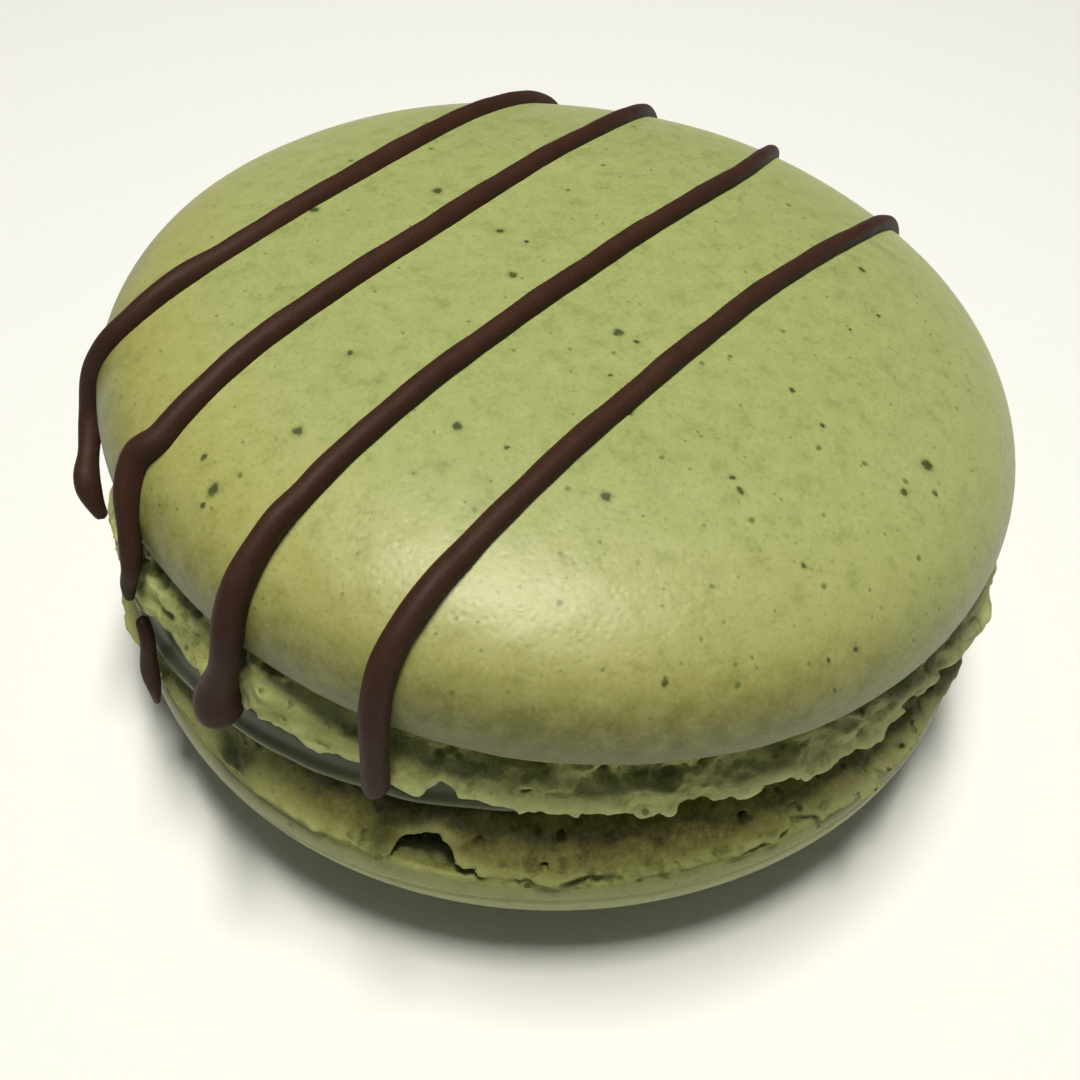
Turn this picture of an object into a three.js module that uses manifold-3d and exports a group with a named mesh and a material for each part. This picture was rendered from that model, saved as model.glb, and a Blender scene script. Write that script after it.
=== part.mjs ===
// French macaron: two almond shells with ruffled feet, a layer of filling between them, and four
// thin lines of chocolate over the top.
//
// Millimetres, +Z up.  The origin is the middle of the small flat spot that the macaron rests on.
// The side where the near ends of the chocolate hang faces -Y.  Angles are in degrees round +Z.

import * as THREE from 'three';
import { mergeVertices } from 'three/addons/utils/BufferGeometryUtils.js';
import Module from 'manifold-3d';

const wasm = await Module();
wasm.setup();

// ---------------------------------------------------------------- driving dimensions

const SHELL_SEGMENTS = 84;
const FILLING_SEGMENTS = 60;

// A shell is described with its dome up and its widest line at height 0.
//   skirtDrop   how far the smooth skin reaches below the widest line, to where the foot starts
//   lipTuck     how far that skin rolls in under itself
//   footDrop    depth of the lower edge of the foot; faceInset lifts the baked face above it
//   edgeRound   how gently the foot rounds over into the baked face
//   outline     slight out-of-roundness: [number of lobes, amount, angle of a crest]
//   swell       places where the foot spread further: [angle, half width, amount]
const TOP = {
  radius: 24.0,
  domeHeight: 7.9,
  domePower: 2.6,
  flatSpot: 0,
  skirtDrop: 1.3,
  lipTuck: 0.75,
  grooveRadius: 22.9,
  footRadius: 23.55,
  footDrop: 5.8,
  faceInset: 0.15,
  edgeRadius: 22.9,
  edgeRound: 0.5,
  ruffleDepth: 0.75,
  raggedEdge: 0.8,
  seed: 1.7,
  outline: [[2, 0.23, -30], [3, 0.14, 42]],
  swell: [[-25, 48, 1.15], [-152, 34, 0.7], [80, 60, 0.35]],
};
const BOTTOM = {
  radius: 24.3,
  domeHeight: 6.5,
  domePower: 2.65,
  flatSpot: 0.1,
  skirtDrop: 1.15,
  lipTuck: 0.4,
  grooveRadius: 23.7,
  footRadius: 23.85,
  footDrop: 3.6,
  faceInset: 0,
  edgeRadius: 22.3,
  edgeRound: 1.1,
  ruffleDepth: 0.6,
  raggedEdge: 0,
  seed: 4.2,
  outline: [[2, 0.09, -93], [3, 0.14, -48], [4, 0.15, 30]],
  swell: [[151, 18, 1.3], [28, 30, 0.55], [-80, 60, 0.25]],
};

// The top shell sits a little back and to the right of the bottom one, with its right side lower.
const TOP_CENTRE = [0.35, 0.7, 17.5];
const TOP_TILT = 3.6;

// One large bubble has opened the front of the lower foot.
const OPEN_BUBBLE = { angle: -103, radius: 24.0, height: 8.6, size: [1.3, 2.0, 1.0] };

// The filling is pushed out on the left, where the shells gape, and ends well inside on the right.
const FILLING = { radius: 21.7, centre: [-2.4, 0], swell: [-166, 18, 0.6], unevenness: 0.1, seed: 2.6 };
const GAP_TO_BOTTOM = 0.1;
const GAP_TO_TOP = 0.3;

// Each line of chocolate runs from an angle on the far rim of the top shell to one on the near
// rim, bowed and swayed to one side, and hangs down at both ends, where it thickens to a tip.
const BEAD = { radius: 0.58, lift: 0.22, sides: 6, steps: 32 };
const LINES = [
  { far: 88.0, near: -168.5, bow: 1.84, sway: -0.69, farHang: 2.2, nearHang: 3.3, tip: 0.62 },
  { far: 74.3, near: -146.6, bow: 2.0, sway: 0.07, farHang: 1.6, nearHang: 5.2, tip: 0.5 },
  { far: 53.5, near: -126.9, bow: 1.33, sway: 0.26, farHang: 1.2, nearHang: 4.9, tip: 1.0 },
  { far: 32.7, near: -109.1, bow: 0.17, sway: 0.03, farHang: 2.0, nearHang: 4.5, tip: 0.8 },
];

// A broken-off end of the second line leans on the lower foot: angle, radius and height.
const FRAGMENT = {
  radius: 0.42,
  steps: 6,
  stops: [[-149, 24.4, 11.8], [-146, 24.3, 9.8], [-143.5, 24.3, 8.0]],
};

// ---------------------------------------------------------------- helpers

const rad = THREE.MathUtils.degToRad;

// A place given by its angle round the axis, its distance from it and its height.
const around = (angle, radius, height) => (
  new THREE.Vector3(radius * Math.cos(rad(angle)), radius * Math.sin(rad(angle)), height)
);

// A turned solid's surface.  A lathe turns about Y, so it is stood up to turn about Z.
const turned = (section, segments) => (
  new THREE.LatheGeometry(section.map(([r, z]) => new THREE.Vector2(r, z)), segments).rotateX(Math.PI / 2)
);

// Moves every point of a turned surface: place(index in the section, angle) gives its new position.
function reshape(lathe, pointsInSection, segments, place) {
  const position = lathe.attributes.position;
  for (let i = 0; i < position.count; i += 1) {
    const turn = Math.floor(i / pointsInSection) % segments;
    const { x, y, z } = place(i % pointsInSection, (turn * 360) / segments - 90);
    position.setXYZ(i, x, y, z);
  }
  return lathe;
}

// A smooth hump of height 1 at an angle, fading to nothing at its half width.
function hump(angle, [centre, halfWidth]) {
  const away = Math.abs(((angle - centre + 900) % 360) - 180) / halfWidth;
  return away >= 1 ? 0 : (1 - away * away) ** 2;
}

const swelling = (angle, humps) => humps.reduce((sum, item) => sum + item[2] * hump(angle, item), 0);

const outOfRound = (angle, waves) => (
  waves.reduce((sum, [lobes, amount, crest]) => sum + amount * Math.cos(rad(lobes * (angle - crest))), 0)
);

// The uneven push of rising batter: waves round the shell that lean over as they go down it.
function ruffle(angle, drop, seed) {
  const waveCounts = [7, 11, 18, 29];
  return waveCounts.reduce((sum, count, i) => {
    const lean = 1.6 * Math.sin(drop * (1.1 + 0.4 * i) + seed * (i + 2));
    return sum + Math.sin(rad(count * angle) + seed * (i + 1) * 1.9 + lean) / (i + 2.2);
  }, 0);
}

function toSolid(geometry) {
  const bare = geometry.clone();
  bare.deleteAttribute('normal');
  bare.deleteAttribute('uv');
  const welded = mergeVertices(bare, 1e-4);
  const corners = welded.index.array;
  const kept = [];
  for (let i = 0; i < corners.length; i += 3) {
    const [a, b, c] = corners.slice(i, i + 3);
    if (a !== b && b !== c && c !== a) kept.push(a, b, c);
  }
  return new wasm.Manifold(new wasm.Mesh({
    numProp: 3,
    vertProperties: new Float32Array(welded.attributes.position.array),
    triVerts: new Uint32Array(kept),
  }));
}

function toGeometry(solid) {
  const mesh = solid.getMesh();
  const geometry = new THREE.BufferGeometry();
  geometry.setAttribute('position', new THREE.BufferAttribute(new Float32Array(mesh.vertProperties), 3));
  geometry.setIndex(new THREE.BufferAttribute(new Uint32Array(mesh.triVerts), 1));
  return geometry;
}

const joined = (solids) => solids.reduce((whole, solid) => whole.add(solid));

// ---------------------------------------------------------------- shells

// Height of the dome above the widest line, at a distance from the axis.
function domeHeightAt(shell, r) {
  const fall = Math.min(1, (r / shell.radius) ** shell.domePower);
  return Math.min(shell.domeHeight * Math.sqrt(1 - fall), shell.domeHeight - shell.flatSpot);
}

// Half section of a shell, from the middle of the baked face round to the crown.  Each point has
// its radius, its height, and how much of the foot's unevenness it takes.
function shellSection(shell) {
  const points = [];
  const add = (r, z, rough = 0) => points.push([r, z, rough]);
  const { edgeRadius, footRadius, grooveRadius, skirtDrop } = shell;
  [0, 0.5, 0.86].forEach((share) => add(share * edgeRadius, shell.faceInset - shell.footDrop));

  // The foot's lower edge, rounded over.
  const edgeSteps = 3;
  for (let i = 0; i <= edgeSteps; i += 1) {
    const turn = (i / edgeSteps) * (Math.PI / 2);
    const out = (footRadius - edgeRadius) * Math.sin(turn);
    const up = shell.edgeRound * (1 - Math.cos(turn));
    add(edgeRadius + out, up - shell.footDrop, 0.15 + 0.85 * Math.sin(turn));
  }

  // The foot's side, tucking in towards the groove under the skin.
  const low = shell.edgeRound - shell.footDrop;
  const high = -skirtDrop - 0.5;
  const sideSteps = 4;
  for (let i = 1; i <= sideSteps; i += 1) {
    const share = i / sideSteps;
    const tuck = (footRadius - grooveRadius) * share ** 3;
    add(footRadius - tuck, low + (high - low) * share, 1 - 0.75 * share ** 3);
  }

  // The groove, and the smooth skin that rolls under into it.
  add(grooveRadius, -skirtDrop - 0.12, 0.15);
  [[1, 1], [0.43, 0.82], [0.1, 0.42]].forEach(([tuck, drop]) => {
    add(shell.radius - tuck * shell.lipTuck, -drop * skirtDrop);
  });

  // The dome, its rings closer together towards the rim, where it bends most.
  const domeSteps = 9;
  for (let i = 0; i < domeSteps; i += 1) {
    const r = shell.radius * Math.cos((i / domeSteps) * (Math.PI / 2)) ** 0.85;
    add(r, domeHeightAt(shell, r));
  }
  add(0, domeHeightAt(shell, 0));
  return points;
}

function shellSolid(shell) {
  const section = shellSection(shell);
  const lathe = turned(section, SHELL_SEGMENTS);
  reshape(lathe, section.length, SHELL_SEGMENTS, (index, angle) => {
    const [r, z, rough] = section[index];
    const push = shell.ruffleDepth * ruffle(angle, -z, shell.seed) + swelling(angle, shell.swell);
    const radius = r * (1 + outOfRound(angle, shell.outline) / shell.radius) + rough * push;
    const hang = z < -shell.skirtDrop - 0.5 ? rough * shell.raggedEdge : 0;
    return around(angle, radius, z + hang * ruffle(angle, 3, shell.seed + 2));
  });
  return toSolid(lathe);
}

// ---------------------------------------------------------------- chocolate

// A round bead along a path, with a slightly long drop at each end.
function bead(points, radius, steps, firstTip, lastTip) {
  const path = new THREE.CatmullRomCurve3(points, false, 'centripetal');
  const ring = new THREE.Shape().absarc(0, 0, radius, 0, 2 * Math.PI);
  const run = new THREE.ExtrudeGeometry(ring, { steps, extrudePath: path, curveSegments: BEAD.sides / 2 });
  const tips = [[points[0], firstTip], [points[points.length - 1], lastTip]];
  const drops = tips.map(([end, size]) => {
    const drop = new THREE.SphereGeometry(size, 8, 6).scale(1, 1, 1.15);
    return toSolid(drop.translate(end.x, end.y, end.z));
  });
  return joined([toSolid(run), ...drops]);
}

// The middle of a bead that lies on the dome above a place in plan.
function onDome(shell, plan) {
  const step = 0.01;
  const r = Math.min(plan.length(), shell.radius - step);
  const slope = (domeHeightAt(shell, r) - domeHeightAt(shell, r - step)) / step;
  const normal = new THREE.Vector2(-slope, 1).setLength(BEAD.lift);
  const outward = plan.clone().setLength(r + normal.x);
  return new THREE.Vector3(outward.x, outward.y, domeHeightAt(shell, r) + normal.y);
}

function linePath(shell, line) {
  const rimPlace = (angle) => {
    const { x, y } = around(angle, shell.radius, 0);
    return new THREE.Vector2(x, y);
  };
  const far = rimPlace(line.far);
  const along = rimPlace(line.near).sub(far);
  const aside = new THREE.Vector2(-along.y, along.x).normalize();
  const stops = 16;
  const points = [];
  for (let i = 0; i <= stops; i += 1) {
    const t = (1 - Math.cos((Math.PI * i) / stops)) / 2;
    const shift = 4 * line.bow * t * (1 - t) + line.sway * Math.sin(2 * Math.PI * t);
    points.push(onDome(shell, far.clone().addScaledVector(along, t).addScaledVector(aside, shift)));
  }
  const hangingFrom = (end, drop) => new THREE.Vector3(end.x * 1.006, end.y * 1.006, -drop);
  const [first, last] = [points[0], points[stops]];
  return [
    hangingFrom(first, line.farHang),
    ...points,
    hangingFrom(last, line.nearHang / 2),
    hangingFrom(last, line.nearHang),
  ];
}

function fragment() {
  const points = FRAGMENT.stops.map(([angle, radius, height]) => around(angle, radius, height));
  return bead(points, FRAGMENT.radius, FRAGMENT.steps, FRAGMENT.radius, FRAGMENT.radius);
}

// ---------------------------------------------------------------- assembly

function piece(name, geometry, color, roughness) {
  const material = new THREE.MeshStandardMaterial({ color, roughness, metalness: 0 });
  const mesh = new THREE.Mesh(geometry, material);
  mesh.name = name;
  return mesh;
}

const BOTTOM_CENTRE_HEIGHT = BOTTOM.domeHeight - BOTTOM.flatSpot;
const FLOOR_OF_FILLING = BOTTOM_CENTRE_HEIGHT + BOTTOM.footDrop + GAP_TO_BOTTOM;

// Top of the filling above a place in plan: the tilted top shell's baked face, less the gap.
function ceilingAt(x) {
  const faceDepth = (TOP.footDrop - TOP.faceInset) / Math.cos(rad(TOP_TILT));
  return TOP_CENTRE[2] - faceDepth - (x - TOP_CENTRE[0]) * Math.tan(rad(TOP_TILT)) - GAP_TO_TOP;
}

function topShell() {
  const lines = LINES.map((line) => (
    bead(linePath(TOP, line), BEAD.radius, BEAD.steps, BEAD.radius * 1.1, line.tip)
  ));
  const mesh = piece('shell_top', toGeometry(joined([shellSolid(TOP), ...lines])), 0xa3ad6c, 0.5);
  mesh.position.set(...TOP_CENTRE);
  mesh.rotation.y = rad(TOP_TILT);
  return mesh;
}

function bottomShell() {
  const domeDown = shellSolid(BOTTOM).rotate([180, 0, 0]).translate([0, 0, BOTTOM_CENTRE_HEIGHT]);
  const { angle, radius, height, size } = OPEN_BUBBLE;
  const centre = around(angle, radius, height);
  const hollow = new THREE.SphereGeometry(1, 12, 8).scale(...size).rotateZ(rad(angle));
  const solid = domeDown.subtract(toSolid(hollow.translate(centre.x, centre.y, centre.z))).add(fragment());
  return piece('shell_bottom', toGeometry(solid), 0x9aa368, 0.6);
}

function filling() {
  // Share of the radius and of the thickness: a small lip low on the side, then a smooth wall.
  const floor = [[0, 0], [0.55, 0], [0.985, 0]];
  const wall = [[1.003, 0.2], [0.99, 0.42], [0.985, 0.72], [0.95, 0.85]];
  const top = [[0.88, 1], [0.45, 1], [0, 1]];
  const section = [...floor, ...wall, ...top];
  const lathe = turned(section, FILLING_SEGMENTS);
  reshape(lathe, section.length, FILLING_SEGMENTS, (index, angle) => {
    const [share, level] = section[index];
    const spread = swelling(angle, [FILLING.swell]) + FILLING.unevenness * ruffle(angle, 1, FILLING.seed);
    const place = around(angle, share * (FILLING.radius + spread), FLOOR_OF_FILLING);
    place.x += FILLING.centre[0];
    place.y += FILLING.centre[1];
    place.z += level * (ceilingAt(place.x) - FLOOR_OF_FILLING);
    return place;
  });
  return piece('filling', toGeometry(toSolid(lathe)), 0x727a52, 0.45);
}

const macaron = new THREE.Group();
macaron.add(bottomShell(), filling(), topShell());

export default macaron;
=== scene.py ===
# %% [markdown]
# # A green macaron with four lines of chocolate
#
# A macaron is two almond shells with something soft between them. Each shell has a smooth, thin
# skin on its dome and a "foot" under it, the ruffled, bubbly band where batter boiled out while
# the skin had already set. Here the skins are turned like pots on a wheel, the feet are carved out
# of a block of batter bubble by bubble, and the chocolate is swept along the path of the piping
# bag. Everything is worked out in millimetres and scaled to Blender's metres when a mesh is made.

# %% Open the frame and keep the size of the plain model
import math
import bmesh
import bpy
import numpy as np
from mathutils import Matrix, Vector


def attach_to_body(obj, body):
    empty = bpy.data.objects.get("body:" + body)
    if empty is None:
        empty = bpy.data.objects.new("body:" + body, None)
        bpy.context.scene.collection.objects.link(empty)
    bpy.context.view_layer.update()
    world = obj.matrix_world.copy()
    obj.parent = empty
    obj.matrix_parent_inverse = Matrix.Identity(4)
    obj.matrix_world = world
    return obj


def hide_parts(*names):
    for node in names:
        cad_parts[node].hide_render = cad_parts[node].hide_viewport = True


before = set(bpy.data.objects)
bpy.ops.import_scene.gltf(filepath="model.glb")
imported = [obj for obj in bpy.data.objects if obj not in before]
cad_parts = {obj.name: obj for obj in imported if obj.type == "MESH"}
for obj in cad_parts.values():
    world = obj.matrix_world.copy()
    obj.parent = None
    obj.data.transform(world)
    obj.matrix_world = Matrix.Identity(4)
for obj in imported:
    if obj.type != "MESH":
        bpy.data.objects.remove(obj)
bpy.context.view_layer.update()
MM = 0.001

# %% [markdown]
# ## The measurements
#
# A baker would describe a shell by its width, how high the dome stands and how far the foot
# spread. Both shells are described with the dome up and the widest line at height 0, so one set
# of functions can make them. The lower shell is then turned over, which mirrors its angles.

# %% Sizes of the two shells, in mm and degrees
# "outline" says how far a shell is out of round, as (lobes, size, angle of a crest), and "swell"
# where its foot is swollen, as (angle, half width, size). "foot_side" is the foot's section: the
# share of the way from its shoulder down to its edge, the reach there, and the share of the
# foot's unevenness that is felt there.
TOP = {
    "radius": 24.0, "dome_height": 7.9, "dome_power": 2.6, "flat_spot": 0.0,
    "skirt_drop": 1.3, "lip_tuck": 0.75, "face_depth": 5.65, "seed": 1.7,
    "ledge_depth": 0.0, "outline": [(2, 0.23, -30), (3, 0.14, 42)],
    "swell": [(-20, 42, 0.8), (-150, 26, 0.75), (-127, 34, 0.6), (80, 60, 0.35)],
    "foot_side": [(-0.7, 22.5, 0.0), (-0.3, 22.6, 0.3), (0.0, 23.1, 0.7), (0.15, 23.35, 0.9),
                  (0.5, 23.62, 1.0), (0.85, 23.85, 1.0), (1.0, 23.88, 1.0), (1.2, 23.7, 1.0)],
}
BOTTOM = {
    "radius": 24.3, "dome_height": 6.5, "dome_power": 2.65, "flat_spot": 0.1,
    "skirt_drop": 1.15, "lip_tuck": 0.4, "face_depth": 3.6, "seed": 4.2,
    "ledge_depth": 0.07, "outline": [(2, 0.09, -93), (3, 0.14, -48), (4, 0.15, 30)],
    "swell": [(157, 9, 1.15), (28, 30, 0.55), (-80, 60, 0.25)],
    "foot_side": [(-0.35, 23.6, 0.0), (-0.2, 24.03, 0.0), (-0.1, 24.08, 0.1), (0.1, 24.0, 0.3),
                  (0.17, 24.02, 0.5), (0.24, 24.22, 0.8), (0.33, 24.12, 1.0), (0.5, 23.6, 1.0),
                  (0.75, 22.95, 0.9), (1.0, 22.3, 0.7), (1.4, 21.4, 0.4)],
}
TOP_CENTRE, TOP_TILT = (0.35, 0.7, 17.5), math.radians(3.6)
BOTTOM_CENTRE = (0, 0, 6.4)
TOP_STAND = Matrix.Translation(TOP_CENTRE) @ Matrix.Rotation(TOP_TILT, 4, "Y")
BOTTOM_STAND = Matrix.Translation(BOTTOM_CENTRE) @ Matrix.Rotation(math.pi, 4, "X")
UPRIGHT = Matrix.Identity(4)
print("widths of the two shells, mm:", 2 * TOP["radius"], 2 * BOTTOM["radius"])

# %% [markdown]
# ## Small curves that everything shares
#
# Nothing baked is truly round. A few sums of sine waves give the slow wander of an edge, a hump
# gives one swollen place, and a soft step fades one thing into another without a crease.

# %% Curves
def soft_step(low, high, x):
    """0 below low, 1 above high and smooth in between."""
    t = np.clip((x - low) / (high - low), 0.0, 1.0)
    return t * t * (3 - 2 * t)


def hump(angle, centre, half_width):
    """1 at the centre and 0 beyond half_width degrees from it, all round the circle."""
    away = np.abs((angle - centre + 900) % 360 - 180) / half_width
    return np.where(away < 1, (1 - np.minimum(away, 1) ** 2) ** 2, 0.0)


def swelling(angle, humps):
    return sum(size * hump(angle, centre, half) for centre, half, size in humps)


def out_of_round(angle, waves):
    """How far a rim stands out at an angle, in mm, from its (lobes, size, crest) waves."""
    return sum(size * np.cos(np.radians(lobes * (angle - crest))) for lobes, size, crest in waves)


def ruffle(angle, drop, seed):
    """The slow push and pull of rising batter, round the shell and down it."""
    total = 0.0
    for i, count in enumerate((7, 11, 18, 29)):
        lean = 1.6 * np.sin(drop * (1.1 + 0.4 * i) + seed * (i + 2))
        total = total + np.sin(np.radians(count * angle) + seed * (i + 1) * 1.9 + lean) / (i + 2.2)
    return total


def round_point(angle, radius, height):
    a = np.radians(angle)
    return np.stack(np.broadcast_arrays(radius * np.cos(a), radius * np.sin(a), height), -1)


# %% [markdown]
# ## From points to a piece
#
# One function makes every mesh. It takes points in the shell's own millimetres, stands them where
# the shell is and scales them to metres. It also stores each point's own place on the shell as an
# attribute, so that a finish can know how high on the dome it is even where the shell is tilted.

# %% Make a piece from points and faces
def fill_attribute(mesh, name, values):
    kind, key = ("FLOAT_VECTOR", "vector") if np.ndim(values) == 2 else ("FLOAT", "value")
    made = mesh.attributes.new(name, kind, "POINT")
    made.data.foreach_set(key, np.asarray(values, np.float32).ravel())


def make_piece(name, points, faces, stand, **extra):
    points = np.asarray(points, float)
    turn, shift = np.array(stand)[:3, :3], np.array(stand)[:3, 3]
    mesh = bpy.data.meshes.new(name)
    mesh.from_pydata(((points @ turn.T + shift) * MM).tolist(), [], faces)
    fill_attribute(mesh, "shell_place", points)
    for key, values in extra.items():
        fill_attribute(mesh, key, values)
    mesh.polygons.foreach_set("use_smooth", [True] * len(mesh.polygons))
    mesh.update()
    piece = bpy.data.objects.new(name, mesh)
    bpy.context.scene.collection.objects.link(piece)
    print(f"{name}: {len(mesh.vertices)} points, {len(mesh.polygons)} faces")
    return piece


def turned_faces(rings, turns):
    """Quads between rings of points, closed at both ends round the first and the last point."""
    def at(ring, turn):
        return 1 + ring * turns + turn % turns
    last = 1 + rings * turns
    faces = [(0, at(0, j + 1), at(0, j)) for j in range(turns)]
    for i in range(rings - 1):
        faces += [(at(i, j), at(i, j + 1), at(i + 1, j + 1), at(i + 1, j)) for j in range(turns)]
    faces += [(at(rings - 1, j), at(rings - 1, j + 1), last) for j in range(turns)]
    return faces


# %% [markdown]
# ## The skins
#
# The skin of a shell is a smooth dome whose edge rolls under into a thin lip. It is the one part
# that a potter's wheel could make, so it is a half section swept round the middle. The section is
# closer spaced where it bends most. The sweep then gets what the oven does: the outline is a
# little out of round, the dome is a touch uneven and the lip wavers up and down.

# %% Turn the two skins
SKIN_TURNS, LIP_POINTS, DOME_POINTS = 480, 24, 96
UNEVEN, LEDGE_HALF_HEIGHT = 0.035, 0.12


def skin_section(shell):
    """Half section of the skin, (radius, height), from under the middle round the lip and up."""
    radius, tuck, drop = shell["radius"], shell["lip_tuck"], shell["skirt_drop"]
    inner = radius - tuck
    under = [(inner - 2.2, -drop + 0.6), (inner - 1.1, -drop + 0.55), (inner - 0.4, -drop + 0.3)]
    lip = [(inner + tuck * math.cos(a), -drop * math.sin(a))
           for a in np.linspace(math.pi / 2, 0, LIP_POINTS)]
    turns = np.linspace(math.pi / 2, 0, DOME_POINTS)[1:-1]
    dome = [(radius * math.sin(a) ** (2 / shell["dome_power"]), shell["dome_height"] * math.cos(a))
            for a in turns]
    return np.array(under + lip + dome)


def skin_points(shell):
    section = skin_section(shell)
    angle = np.arange(SKIN_TURNS) * 360 / SKIN_TURNS
    r, z = section[:, :1], section[:, 1:]
    reach = r * (1 + out_of_round(angle, shell["outline"]) / shell["radius"])
    ledge_height = -0.3 + 0.7 * hump(angle, 150, 70)
    ledge = np.exp(-(((z - ledge_height) / LEDGE_HALF_HEIGHT) ** 2))
    reach = reach - shell["ledge_depth"] * ledge
    x, y = reach * np.cos(np.radians(angle)), reach * np.sin(np.radians(angle))
    seed = shell["seed"]
    uneven = UNEVEN * (np.sin(x / 3.1 + seed) * np.sin(y / 2.7 - seed)
                       + np.sin((x - y) / 4.3 + 2 * seed))
    top = shell["dome_height"] - shell["flat_spot"]
    lip_waver = 1 + 0.08 * ruffle(angle, 1.0, seed) + 0.05 * ruffle(3 * angle, 1.0, seed + 1)
    height = np.where(z > 0, z + uneven * soft_step(0, 3, z), z * lip_waver)
    height = np.minimum(height, top)
    rings = round_point(angle, reach, height).reshape(-1, 3)
    under = [(0.0, 0.0, section[0, 1])]
    crown = [(0.0, 0.0, min(top, shell["dome_height"] + uneven.mean()))]
    return np.vstack([under, rings, crown]), turned_faces(len(section), SKIN_TURNS)


top_skin = make_piece("top_skin", *skin_points(TOP), TOP_STAND)
bottom_skin = make_piece("bottom_skin", *skin_points(BOTTOM), BOTTOM_STAND)

# %% [markdown]
# ## Lumps at many sizes
#
# Batter is lumpy at every size, from ruffles as wide as a fingertip to grains of almond. Soft
# noise gives that: random numbers on a coarse lattice, blended smoothly to a fine one. Each axis
# is blended on its own as a matrix product, which is quick even for millions of cells, and round
# the shell the lattice joins up with itself.

# %% Soft noise on a round lattice
def blend_weights(count, knots, closed):
    """Each fine row is a smooth cubic blend of four neighbouring knots."""
    place = np.arange(count) * knots / count if closed else np.linspace(1, knots - 2.001, count)
    base, t = np.floor(place).astype(int), place % 1.0
    near = [(1 - t) ** 3 / 6, (3 * t**3 - 6 * t**2 + 4) / 6,
            (-3 * t**3 + 3 * t**2 + 3 * t + 1) / 6, t**3 / 6]
    weights = np.zeros((count, knots), np.float32)
    for step, part in enumerate(near):
        weights[np.arange(count), (base + step - 1) % knots] += part
    return weights


def soft_noise(counts, spans, lump, rng):
    """Noise with lumps of the given (round, out, up) sizes in mm, spread evenly about zero."""
    knots = [max(4, round(spans[0] / lump[0]))]
    knots += [math.ceil(span / size) + 3 for span, size in zip(spans[1:], lump[1:])]
    values = rng.standard_normal(knots).astype(np.float32)
    values = values @ blend_weights(counts[2], knots[2], False).T
    values = np.matmul(blend_weights(counts[1], knots[1], False), values)
    values = blend_weights(counts[0], knots[0], True) @ values.reshape(knots[0], -1)
    values = values.reshape(counts)
    return values / values.std()


# %% [markdown]
# ## A block of batter to carve
#
# A foot has hollows that run back under thin crusts, so it can't be made by pushing the points of
# a smooth ring about. Instead the space round the shell is filled with a fine round lattice of
# cells, and each holds how deep it lies inside the batter, in millimetres, below zero outside. A
# bubble is pressed in by lowering the cells near it. A surface is drawn through the zeros at the
# end, as a sculptor's voxel tool would.

# %% The block, and pressing bubbles into it
CELL = 0.11
BLOCK_INNER, BLOCK_OUTER = 19.8, 26.3
GIRTH = 2 * math.pi * 24
RIM_PLACE, RIM_WIDTH = 1.18, 0.13
print("cell, mm:", CELL)


def soft_lower(a, b, rounding):
    """The lower of two depths, with the corner between them rounded off."""
    return 0.5 * (a + b - np.sqrt((a - b) ** 2 + rounding**2))


class Block:
    """Cells round the shell: angle, radius and height, holding depth inside the batter in mm."""

    def __init__(self, top, low):
        self.low = (0.0, BLOCK_INNER, low)
        self.spans = (GIRTH, BLOCK_OUTER - BLOCK_INNER, top - low)
        self.count = [round(span / CELL) for span in self.spans]
        self.step = [360 / self.count[0], CELL, CELL]
        self.angle, self.reach, self.height = (
            start + step * np.arange(n) for start, step, n in zip(self.low, self.step, self.count))

    def noise(self, lump, rng):
        return soft_noise(self.count, self.spans, lump, rng)

    def press(self, angle, reach, height, size, rim=0.0, soft=0.0):
        """Presses a bubble in.

        size is its half length round, out and up, rim the height of its raised edge, and soft how
        far the corner where it meets the surface is rounded off.
        """
        across = math.degrees(size[0] / reach)
        spread = [across * 1.5, size[1] * 1.5, size[2] * 1.5]
        spans = []
        for centre, half, low, step in zip((angle, reach, height), spread, self.low, self.step):
            spans.append(np.arange(math.floor((centre - half - low) / step),
                                   math.ceil((centre + half - low) / step) + 1))
        outs = spans[1][(spans[1] >= 0) & (spans[1] < self.count[1])]
        ups = spans[2][(spans[2] >= 0) & (spans[2] < self.count[2])]
        if not len(outs) or not len(ups):
            return
        a = (spans[0] * self.step[0] - angle) / across
        b = (self.low[1] + outs * CELL - reach) / size[1]
        c = (self.low[2] + ups * CELL - height) / size[2]
        away = np.sqrt((a * a)[:, None, None] + (b * b)[None, :, None] + (c * c)[None, None, :])
        where = np.ix_(spans[0] % self.count[0], outs, ups)
        raised = self.depth[where] + rim * np.exp(-(((away - RIM_PLACE) / RIM_WIDTH) ** 2))
        self.depth[where] = soft_lower(raised, (away - 1) * min(size), soft)

    def outermost(self):
        """Radius of the outermost batter for every angle and height."""
        first = np.argmax((self.depth > 0)[:, ::-1, :], axis=1)
        return self.reach[self.count[1] - 1 - first]


# %% [markdown]
# ## Drawing the surface through the block
#
# In every cell that the surface passes through, one point is set at the mean of the places where
# it crosses the cell's edges, and four neighbouring points make a face wherever an edge is
# crossed. This is the "surface nets" way, and it leaves no cracks. Loose crumbs that touch nothing
# are dropped, the two round holes at the block's own sides are closed, and the mesh is thinned
# where it is flat.

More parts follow.
